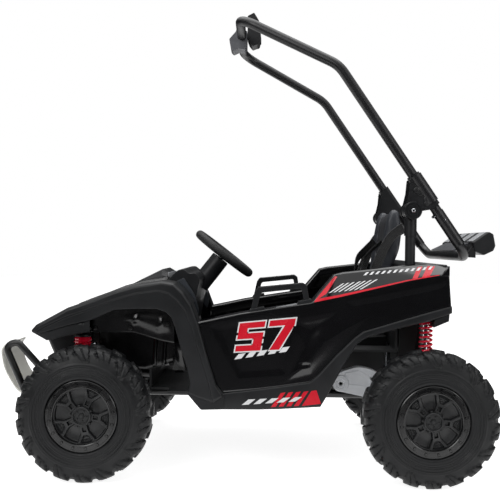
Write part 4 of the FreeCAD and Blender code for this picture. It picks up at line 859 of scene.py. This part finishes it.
def webbing():
    """Woven strap: fine weft ribs every 2.4 mm, drawn a little coarser than real so that they show."""
    material = skin_of("woven_polyester_webbing", "0c0c0d", "161617", (0.6, 0.72), 20, 1.2, 0.1,
                       Sheen_Weight=0.3)
    tree = material.node_tree
    place = add(tree, "UVMap").outputs["UV"]
    ribs = add(tree, "TexWave", {"Vector": place, "Scale": 1.0, "Distortion": 0.3}, wave_type="BANDS",
               bands_direction="Y")
    bump = add(tree, "Bump", {"Height": ribs.outputs["Fac"], "Strength": 1.0, "Distance": 0.0004,
                              "Normal": tree.nodes["Bump"].outputs["Normal"]})
    tree.links.new(bump.outputs["Normal"], tree.nodes["Principled BSDF"].inputs["Normal"])
    return material


def smooth_path(points, count):
    """A Catmull-Rom curve through points, cut into equal shares of each span."""
    points = np.asarray(points, float)
    padded_ends = np.concatenate([2 * points[:1] - points[1:2], points, 2 * points[-1:] - points[-2:-1]])
    at = np.linspace(0, len(points) - 1, count)
    k = np.minimum(at.astype(int), len(points) - 2)
    t = (at - k)[:, None]
    a, b, c, d = (padded_ends[k + n] for n in range(4))
    return 0.5 * (2 * b + (c - a) * t + (2 * a - 5 * b + 4 * c - d) * t ** 2
                  + (3 * b - a - 3 * c + d) * t ** 3)


def square_to(path):
    """Unit directions square to a path in its own upright plane."""
    normal = np.cross(np.gradient(path, axis=0), (0, 1, 0))
    return normal / np.linalg.norm(normal, axis=1)[:, None]


def ribbon(name, path, across):
    """A strap along a smooth path: its width lies along a direction at each point, and its UV map runs in
    turns of the weave along its length."""
    places = np.linspace(-0.5, 0.5, 7)[:, None]
    shape = grid(path[:, None] + across[:, None] * places * STRAP_WIDTH)
    item = piece(name, shape, strap_black, "body", wall=1.6, side=0)
    run = np.concatenate([[0], np.cumsum(np.linalg.norm(np.diff(path, axis=0), axis=1))])
    item.data.uv_layers.new(name="weave")
    corner = np.array([loop.vertex_index for loop in item.data.loops])
    place = np.zeros(len(item.data.vertices) * 3)
    item.data.vertices.foreach_get("co", place)
    nearest = np.linalg.norm(place.reshape(-1, 3)[:, None] - path, axis=2).argmin(1)
    uv = np.stack([np.zeros(len(corner)), run[nearest][corner] / 0.0024], -1)
    item.data.uv_layers["weave"].data.foreach_set("uv", uv.ravel())
    return item


strap_black = webbing()
side_line = [(0.915, 1.225), (0.874, 1.203), (0.833, 1.172), (0.795, 1.12), (0.765, 1.065), (0.735, 1.0),
             (0.72, 0.94)]
shoulder_line = [(0.8, 1.155), (0.745, 1.113), (0.69, 1.066), (0.668, 1.015), (0.656, 0.96), (0.655, 0.9)]
for name, sign in SIDES:
    side_path = smooth_path(spots(side_line, sign * 0.149), 40)
    strap = ribbon(f"side_strap_{name}", side_path, 0.76 * square_to(side_path) + (0, 0.65, 0))
    if name == "left":
        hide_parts("harness_straps")
    loop_path = smooth_path(spots(shoulder_line, sign * 0.075), 40)
    twist = np.interp(np.arange(40), [0, 14, 26, 39], [0.75, 0.6, 0.15, 0.3])[:, None]
    twist = twist * (0.45 if sign < 0 else 1)
    across = square_to(loop_path) * np.sin(twist) + np.cos(twist) * (0, 1, 0)
    ribbon(f"shoulder_strap_{name}", loop_path, across)

# Grab handles: stiff moulded arches with three screws along the top, standing on feet on the door's ledge.
# A pale strip on the ledge under the left one is a painted highlight of the ledge's flat top.
arch_shares = [(-0.05, 0.801), (-0.024, 0.9), (-0.004, 0.924), (0.262, 0.947), (0.284, 0.935), (0.303, 0.85),
               (0.268, 0.85), (0.256, 0.914), (0.248, 0.919), (0.02, 0.897), (0.012, 0.889), (-0.014, 0.806)]
front_foot = [(-0.06, 0.8), (0.035, 0.813), (0.035, 0.83), (-0.05, 0.818)]
back_foot = [(0.225, 0.839), (0.315, 0.852), (0.31, 0.872), (0.235, 0.858)]
handle = merged([slab(arch_shares, -0.326, -0.3), slab(front_foot, -0.329, -0.297),
                 slab(back_foot, -0.329, -0.297)])
handle_screws = []
for x_share in (0.012, 0.13, 0.246):
    top = (0.924 + (x_share + 0.004) * 0.023 / 0.266) * SHOULDER * 1000
    head = [(0, top + 0.6), (3.6, top + 0.6), (4.6, top - 1.5), (0, top - 1.5)]
    handle_screws.append(post(spot(x_share, 0, -0.313)[:2], head, 20))
handle_screws = merged(handle_screws)
# Painted highlight: a pale strip where the ledge's flat top catches the light.
ledge_label = slab([(0.09, 0.818), (0.27, 0.848), (0.27, 0.854), (0.09, 0.824)], -0.322, -0.304)
piece("ledge_label", ledge_label, pale_insert_and_highlight, "body")
for name, sign in SIDES:
    piece(f"handle_{name}", on_side(handle, sign), grained_black, "body",
          [f"grab_handle_{name}"], edge=3)
    piece(f"handle_screws_{name}", on_side(handle_screws, sign), powder_coat, "body")

# Bumper: powder coated hoops with a curved skid plate of satin silver plastic wrapped round their front.
skid_shares = [(-1.664, 0.575), (-1.684, 0.546), (-1.68, 0.507), (-1.665, 0.455), (-1.628, 0.395),
               (-1.56, 0.326), (-1.44, 0.3), (-1.38, 0.297)]
skid_line = smooth_path(spots(skid_shares, 0), 40)
skid_ys = np.concatenate([[-0.101, -0.099, -0.094], np.linspace(-0.086, 0.086, 11), [0.094, 0.099, 0.101]])
wrap = 0.002 * (np.abs(skid_ys) / 0.101) ** 8
skid = skid_line[:, None] + np.stack([wrap, skid_ys, 0.3 * wrap], -1)
# Satin silver paint over plastic: fine flake, a broad soft highlight.
silver_paint = skin_of("satin_silver_paint", "d6d5cd", "e6e5de", (0.3, 0.42), 25, 0.9, 0.02, Metallic=0.15)
piece("skid_plate", grid(skid), silver_paint, "body", ["bumper_plate"], wall=4, side=0,
      sharp=60)

# Lamps in the nose and the tail: the frame's own solids, as clear lenses in front and red ones behind.
lens_clear = skin_of("clear_polycarbonate_lens", "c9ccd0", "dcdfe2", (0.05, 0.1), 20, 3, 0.03, IOR=1.58,
                     Coat_Weight=0.5)
lens_red = skin_of("red_polycarbonate_lens", "6e0409", "8c0710", (0.08, 0.14), 20, 3, 0.03, IOR=1.58,
                   Coat_Weight=0.5)
dress(["headlights"], lens_clear)
dress(["tail_lights"], lens_red)

# Roll cage: one loop of 27 mm steel tube in gloss black, folded on discs over the posts behind the seat.
# The loop, its brackets and the posts keep the frame's own solids. Hinge caps, bolts, snap buttons, the
# sleeves, and the brackets' plugs and ribs are added.
gloss_coat = skin_of("powder_coat_semigloss_black", "0c0c0e", "131316", (0.32, 0.44), 70, 3.5, 0.01)
dress(["cage_loop"], gloss_coat)
dress(["cage_brackets", "cage_posts"], grained_black)
HINGE = spot(0.908, 1.302, 0)
cap_profile = [(0, 317), (6.4, 317), (6.8, 314.5), (8.6, 314.5), (9, 313), (13, 313), (13.6, 314.2),
               (15.6, 314.2), (16.2, 312.6), (19, 312.6), (19.6, 315), (22.4, 315), (23.8, 313), (24, 306.2),
               (0, 306.2)]
bolt_profile = [(0, 320), (4.2, 320), (5.6, 318.8), (5.6, 316), (0, 316)]
cage_side = spot(1.2521, 1.0841, -0.273), spot(0.4642, 2.0109, -0.278)


def on_side_tube(z_share):
    """The point of the loop's straight side at a height."""
    t = (z_share * SHOULDER - cage_side[0][2]) / (cage_side[1][2] - cage_side[0][2])
    return cage_side[0] + (cage_side[1] - cage_side[0]) * t


def plug_of(size):
    """The profile of a round plastic plug of a radius in millimetres."""
    return [(0, 309.5), (size - 2, 309.5), (size, 308.5), (size, 300), (0, 300)]


def rib_at(z_share):
    """A short slanting rib of the bracket at a height."""
    return [(0.89, z_share), (0.94, z_share + 0.014), (0.942, z_share + 0.008), (0.891, z_share - 0.006)]


hinge_cap = disc(HINGE, cap_profile, -1)
hinge_bolt = disc(HINGE, bolt_profile, -1, 6)
button = [(0, 290.5), (2.5, 290), (3.8, 288), (3.8, 275), (0, 275)]
snap_buttons = merged([disc(spot(*place, 0), button, -1, 16) for place in ((1.042, 1.2736), (1.105, 1.2596))])
lower_sleeve = tube([on_side_tube(1.3), on_side_tube(1.2), on_side_tube(1.14)], 0.0152, 32)
raised_line = [on_side_tube(z_share) - (0, 0.0215, 0) for z_share in (1.472, 1.41, 1.346)]
bracket_sleeve = tube(raised_line, 0.0165, 32)
plug_places = ((0.93, 1.402, 8), (0.952, 1.39, 9), (0.988, 1.358, 7.5), (0.99, 1.338, 7))
bracket_plugs = merged([disc(spot(x_share, z_share, 0), plug_of(size), -1, 24)
                        for x_share, z_share, size in plug_places])
bracket_ribs = merged([slab(rib_at(z_share), -0.3075, -0.303) for z_share in (1.44, 1.405, 1.37, 1.335)])
for name, sign in SIDES:
    piece(f"hinge_cap_{name}", on_side(hinge_cap, sign), grained_black, "cage", sharp=25)
    piece(f"hinge_bolt_{name}", on_side(hinge_bolt, sign), chrome, "cage", edge=0.4)
    piece(f"snap_buttons_{name}", on_side(snap_buttons, sign), chrome, "cage")
    piece(f"lower_sleeve_{name}", on_side(lower_sleeve, sign), gloss_coat, "cage", sharp=50)
    piece(f"bracket_sleeve_{name}", on_side(bracket_sleeve, sign), gloss_coat, "cage",
          sharp=50)
    piece(f"bracket_plugs_{name}", on_side(bracket_plugs, sign), rim_satin, "cage", sharp=30)
    piece(f"bracket_ribs_{name}", on_side(bracket_ribs, sign), grained_black, "cage")

# Rear light bar: a black seven-sided housing with four pale lamp windows along its upper side, end caps
# and a small foot. The steel plate that carries it keeps the frame's own solid.
bar_shares = [(1.329, 1.1534), (1.426, 1.2091), (1.454, 1.1968), (1.468, 1.1383), (1.456, 1.1129),
              (1.397, 1.0895), (1.335, 1.1115)]
piece("light_bar", slab(bar_shares, -0.186, 0.186), gloss_coat, "cage", ["cage_light_bar"],
      edge=2)
caps = merged([slab(bar_shares, -0.2, -0.188), slab(bar_shares, 0.188, 0.2)])
piece("light_bar_caps", caps, grained_black, "cage", edge=3)
window_shares = [(1.336, 1.1574), (1.419, 1.2051), (1.4157, 1.2088), (1.3327, 1.1611)]
windows = [slab(window_shares, y, y + 0.06) for y in (-0.18, -0.08, 0.02, 0.12)]
bar_foot = slab([(1.3, 1.078), (1.346, 1.076), (1.346, 1.112), (1.32, 1.13), (1.296, 1.1)], -0.198, -0.182)
piece("light_bar_foot", bar_foot, gloss_coat, "cage", edge=1)
piece("light_bar_windows", merged(windows), pale_insert_and_highlight, "cage", edge=1)
steel_grey = skin_of("brushed_steel_grey_paint", "4c4d51", "66676b", (0.35, 0.5), 30, 1.5, 0.03, Metallic=0.5)
dress(["cage_plate"], steel_grey)

# Front lamp: a small tilted housing clipped to the loop's front tube by a clamp. A ring with a red dot is
# set in its right side.
clamp_front = slab([(-0.225, 2.248), (-0.181, 2.289), (-0.174, 2.3127), (-0.104, 2.2915), (-0.104, 2.2131),
                    (-0.118, 2.192), (-0.16, 2.197), (-0.196, 2.183), (-0.213, 2.1965)], -0.032, 0.032, 0.003)
lamp_box = slab([(-0.103, 2.2605), (-0.103, 2.376), (-0.06, 2.3946), (-0.026, 2.35), (-0.014, 2.28),
                 (-0.009, 2.2476), (-0.035, 2.2202), (-0.068, 2.2101), (-0.091, 2.2333)], -0.03, 0.03, 0.003)
lamp_ring = disc(spot(-0.037, 2.236, 0), [(0, 31.6), (7.4, 31.6), (8.4, 31), (8.6, 29), (0, 29)])
lamp_dot = disc(spot(-0.037, 2.236, 0), [(0, 32.4), (3, 32.4), (3.6, 32), (3.6, 31), (0, 31)])
piece("lamp_ring", lamp_ring, gloss_black, "cage")
piece("lamp_dot", lamp_dot, lens_red, "cage")
piece("lamp_clamp", clamp_front, steel_grey, "cage", ["cage_lamp_clamp"], edge=2)
piece("lamp_housing", lamp_box, grained_black, "cage", ["cage_lamp"], edge=2)

# Decals: printed vinyl on the panels. The door carries a plain number in red with a white edge; slanted bars,
# dashes and stripes stand where the printing is. Each sheet is laid back on to its panel.


def patch(corners, columns=8, rows=3):
    """A flat sheet of quads between four corners of shares, by blending its sides. It stands in front of the
    left side."""
    low_left, high_left, high_right, low_right = np.asarray(corners, float)
    u, v = np.linspace(0, 1, columns)[None, :, None], np.linspace(0, 1, rows)[:, None, None]
    sheet = (low_left * (1 - u) + low_right * u) * (1 - v) + (high_left * (1 - u) + high_right * u) * v
    x_share, z_share = sheet[..., 0], sheet[..., 1]
    return grid(np.stack([MIDDLE + x_share * HALF_BASE, 0 * x_share - 0.36, z_share * SHOULDER], -1))


def in_box(corners, box):
    """Corners in a unit square laid into a four-cornered frame of shares, by blending its sides."""
    u, v = np.asarray(corners, float).T[..., None]
    low_left, high_left, high_right, low_right = (np.array(corner) for corner in box)
    return (low_left * (1 - u) + low_right * u) * (1 - v) + (high_left * (1 - u) + high_right * u) * v


def sticker(name, sheets, panel, material, lift):
    """Vinyl laid on to a panel along the vehicle's width, a few tenths of a millimetre proud of it."""
    item = piece(name, merged(sheets), material, "body")
    laid = item.modifiers.new("laid", "SHRINKWRAP")
    laid.target, laid.offset = bpy.data.objects[panel], lift * MM
    laid.wrap_method, laid.use_project_y = "PROJECT", True


def leaning(box, starts, width, lean):
    """Slanted bars across a frame, each from a start along it, with a width and a lean in shares of its
    length."""
    return [patch(in_box([(at, 0), (at + lean, 1), (at + lean + width, 1), (at + width, 0)], box), 4)
            for at in starts]


vinyl_red = skin_of("printed_vinyl_red", "c4081f", "d80d2a", (0.22, 0.3), 40, 5, 0.01)
vinyl_white = skin_of("printed_vinyl_white", "d9dadb", "e6e6e7", (0.25, 0.35), 40, 5, 0.01)
number_box = ((-0.135, 0.613), (-0.108, 0.749), (0.221, 0.777), (0.189, 0.629))
strokes = [[(0, 0.8), (0, 1), (0.46, 1), (0.46, 0.8)], [(0, 0.62), (0, 0.8), (0.16, 0.8), (0.16, 0.62)],
           [(0, 0.43), (0, 0.62), (0.46, 0.62), (0.46, 0.43)],
           [(0.3, 0.2), (0.3, 0.43), (0.46, 0.43), (0.46, 0.2)],
           [(0, 0), (0, 0.2), (0.46, 0.2), (0.46, 0)], [(0.54, 0.8), (0.54, 1), (1, 1), (1, 0.8)],
           [(0.62, 0), (0.83, 0.8), (1, 0.8), (0.8, 0)]]
margin = np.array([(-0.024, -0.044), (-0.024, 0.044), (0.024, 0.044), (0.024, -0.044)])
door_bars = ((-0.139, 0.575), (-0.13, 0.599), (0.194, 0.643), (0.189, 0.619))
sill_bars = ((-0.091, 0.36), (-0.072, 0.386), (0.27, 0.404), (0.25, 0.383))
sill_stripes = [[(0.081 + d, 0.352 + 0.05 * d), (0.138 + d, 0.42 + 0.06 * d), (0.166 + d, 0.424 + 0.06 * d),
                 (0.109 + d, 0.354 + 0.05 * d)] for d in (0.0, 0.045, 0.09, 0.135)]
sill_stripes.append([(0.262, 0.36), (0.318, 0.433), (0.347, 0.436), (0.374, 0.372)])
crest_low = [(0.325, 0.8545), (0.479, 0.882), (0.672, 0.921), (0.869, 0.962), (1.06, 0.992)]
crest_high = [(0.35, 0.872), (0.479, 0.893), (0.672, 0.929), (0.869, 0.9675), (1.06, 0.9955)]
quarter_red = [patch((crest_low[k], crest_high[k], crest_high[k + 1], crest_low[k + 1]), 12)
               for k in range(len(crest_low) - 1)]
quarter_red += [patch(((0.325, 0.857), (0.45, 0.98), (0.466, 0.978), (0.398, 0.896)), 8, 12),
                patch(((0.902, 0.974), (0.941, 1.03), (0.97, 1.033), (0.932, 0.977)), 6, 8),
                patch(((0.956, 0.979), (0.999, 1.036), (1.043, 1.034), (1.003, 0.987)), 8, 8)]
glyph_box = ((0.412, 0.9), (0.47, 0.943), (0.715, 0.97), (0.637, 0.924))
dash_box = ((0.62, 0.986), (0.63, 1.0), (1.03, 1.034), (1.022, 1.02))
number_edge = [patch(in_box(np.array(stroke) + margin, number_box)) for stroke in strokes]
number = [patch(in_box(stroke, number_box)) for stroke in strokes]
sticker("door_number_edge", number_edge, "flank_left", vinyl_white, 0.3)
sticker("door_number", number, "flank_left", vinyl_red, 0.7)
sticker("door_bars", leaning(door_bars, (0, 0.2, 0.4, 0.6, 0.8), 0.13, 0.05), "flank_left", vinyl_white, 0.5)
sticker("quarter_stripes", quarter_red, "flank_left", vinyl_red, 0.4)
sticker("quarter_bars", leaning(glyph_box, (0, 0.12, 0.25, 0.4, 0.52, 0.66, 0.8), 0.055, 0.1), "flank_left",
        vinyl_white, 0.5)
sticker("quarter_dashes", leaning(dash_box, np.linspace(0, 0.94, 12), 0.04, 0.02), "flank_left",
        vinyl_white, 0.5)
sticker("sill_stripes", [patch(stripe) for stripe in sill_stripes], "sill_band_left", vinyl_red, 0.3)
sticker("sill_bars", leaning(sill_bars, (0, 0.2, 0.4, 0.6, 0.8), 0.12, 0.06), "sill_band_left",
        vinyl_white, 0.6)

# Studio: a pale floor and soft boxes. White seen by the camera and in gloss is the backdrop's colour.
# The camera stands level beside the vehicle, as far off as the wheels' sizes in the picture say.


def background_rays(tree):
    """1 for the rays that look at the background: from the camera, off gloss and through lenses."""
    kind = add(tree, "LightPath")
    seen = add(tree, "Math", {0: kind.outputs["Is Camera Ray"], 1: kind.outputs["Is Glossy Ray"]},
               operation="MAXIMUM")
    through = add(tree, "Math", {0: seen.outputs[0], 1: kind.outputs["Is Transmission Ray"]},
                  operation="MAXIMUM")
    return through.outputs[0]


def studio_floor():
    """Matt pale floor; to the camera it glows up to the backdrop's white, and keeps the object's shadow."""
    material = bpy.data.materials.new("studio_floor")
    material.use_nodes = True
    tree = material.node_tree
    shader = tree.nodes["Principled BSDF"]
    shader.inputs["Roughness"].default_value = 0.9
    shader.inputs["Base Color"].default_value = linear("d8d8d8")
    glow = add(tree, "Emission", {"Color": linear("ffffff"), "Strength": 0.86})
    both = add(tree, "AddShader")
    tree.links.new(shader.outputs[0], both.inputs[0])
    tree.links.new(glow.outputs[0], both.inputs[1])
    mix = add(tree, "MixShader", {0: background_rays(tree)})
    tree.links.new(shader.outputs[0], mix.inputs[1])
    tree.links.new(both.outputs[0], mix.inputs[2])
    tree.links.new(mix.outputs[0], tree.nodes["Material Output"].inputs["Surface"])
    return material


def flag_cloth():
    """Black cloth that only reflections meet: the camera looks through it, and it keeps no light from the
    floor."""
    material = bpy.data.materials.new("black_flag_cloth")
    material.use_nodes = True
    tree = material.node_tree
    shader = tree.nodes["Principled BSDF"]
    shader.inputs["Base Color"].default_value = linear("3c3c3e")
    shader.inputs["Roughness"].default_value = 1.0
    clear = add(tree, "BsdfTransparent")
    mix = add(tree, "MixShader", {0: add(tree, "LightPath").outputs["Is Glossy Ray"]})
    tree.links.new(clear.outputs[0], mix.inputs[1])
    tree.links.new(shader.outputs[0], mix.inputs[2])
    tree.links.new(mix.outputs[0], tree.nodes["Material Output"].inputs["Surface"])
    return material


def stage_sheet(name, corners, material):
    """A flat sheet of the studio."""
    mesh = bpy.data.meshes.new(name)
    mesh.from_pydata(corners, [], [(0, 1, 2, 3)])
    mesh.materials.append(material)
    item = bpy.data.objects.new(name, mesh)
    bpy.context.scene.collection.objects.link(item)


stage_sheet("floor", [(-12, -12, 0), (12, -12, 0), (12, 12, 0), (-12, 12, 0)], studio_floor())
# Black cloth hangs all round and lies on the floor in front, so that gloss panels stay dark.
cloth_black = flag_cloth()
FLAG_REACH, FLAG_TOP, FLAG_COUNT = 5.5, 4, 12
for k in range(FLAG_COUNT):
    turns = np.radians([360 / FLAG_COUNT * k, 360 / FLAG_COUNT * (k + 1)])
    start, stop = ((FLAG_REACH * math.cos(turn), FLAG_REACH * math.sin(turn)) for turn in turns)
    corners = [(*start, 0.01), (*stop, 0.01), (*stop, FLAG_TOP), (*start, FLAG_TOP)]
    stage_sheet(f"black_flag_{k}", corners, cloth_black)
floor_cloth = [(-FLAG_REACH, -FLAG_REACH), (FLAG_REACH, -FLAG_REACH), (FLAG_REACH, -1.2), (-FLAG_REACH, -1.2)]
stage_sheet("black_cloth_on_floor", [(*corner, 0.006) for corner in floor_cloth], cloth_black)

world = bpy.data.worlds.new("studio")
bpy.context.scene.world = world
world.use_nodes = True
sky = world.node_tree
backdrop = sky.nodes["Background"]
strength = add(sky, "MapRange", {"Value": background_rays(sky), "To Min": 0.4, "To Max": 1.0})
backdrop.inputs["Color"].default_value = linear("ffffff")
sky.links.new(strength.outputs["Result"], backdrop.inputs["Strength"])


def soft_box(name, place, aim, width, height, power):
    """A rectangular area lamp at a place, facing a point."""
    light = bpy.data.lights.new(name, "AREA")
    light.shape, light.size, light.size_y, light.energy = "RECTANGLE", width, height, power
    item = bpy.data.objects.new(name, light)
    way = np.asarray(aim, float) - np.asarray(place, float)
    back = -way / np.linalg.norm(way)
    side = np.cross((0, 0, 1), back) if abs(back[2]) < 0.99 else np.array([1.0, 0, 0])
    side = side / np.linalg.norm(side)
    up = np.cross(back, side)
    item.matrix_world = Matrix([[*row, at] for row, at in zip(np.stack([side, up, back], -1).tolist(), place)]
                               + [[0, 0, 0, 1]])
    bpy.context.scene.collection.objects.link(item)


soft_box("overhead_box", (0, 0, 3.2), (0, 0, 0), 3.0, 2.4, 60)
soft_box("key_box", (-1.8, -3.2, 2.2), (0, 0, 0.4), 2.0, 1.6, 55)
soft_box("fill_box", (2.6, -2.4, 1.4), (0.2, 0, 0.4), 1.6, 1.6, 26)

camera_data = bpy.data.cameras.new("camera")
camera_data.lens, camera_data.sensor_width = 59.43, 36
camera = bpy.data.objects.new("camera", camera_data)


def turn_in_plane(first, second, angle):
    """A rotation that mixes two of the three axes by an angle."""
    turn = np.eye(3)
    turn[first, first] = turn[second, second] = math.cos(angle)
    turn[first, second], turn[second, first] = math.sin(angle), -math.sin(angle)
    return turn


# Yaw, pitch and roll in radians, as read from the wheels and the cage.
axes = turn_in_plane(2, 0, -0.01361) @ turn_in_plane(1, 2, -0.00441) @ turn_in_plane(0, 1, 0.01717)
right, ahead_way, above = axes
camera.matrix_world = Matrix([[*row, at] for row, at in zip(np.stack([right, above, -ahead_way], -1).tolist(),
                                                            (0.06178, -2.4849, 0.60961))] + [[0, 0, 0, 1]])
bpy.context.scene.collection.objects.link(camera)
bpy.context.scene.camera = camera
bpy.context.scene.view_settings.view_transform = "Standard"
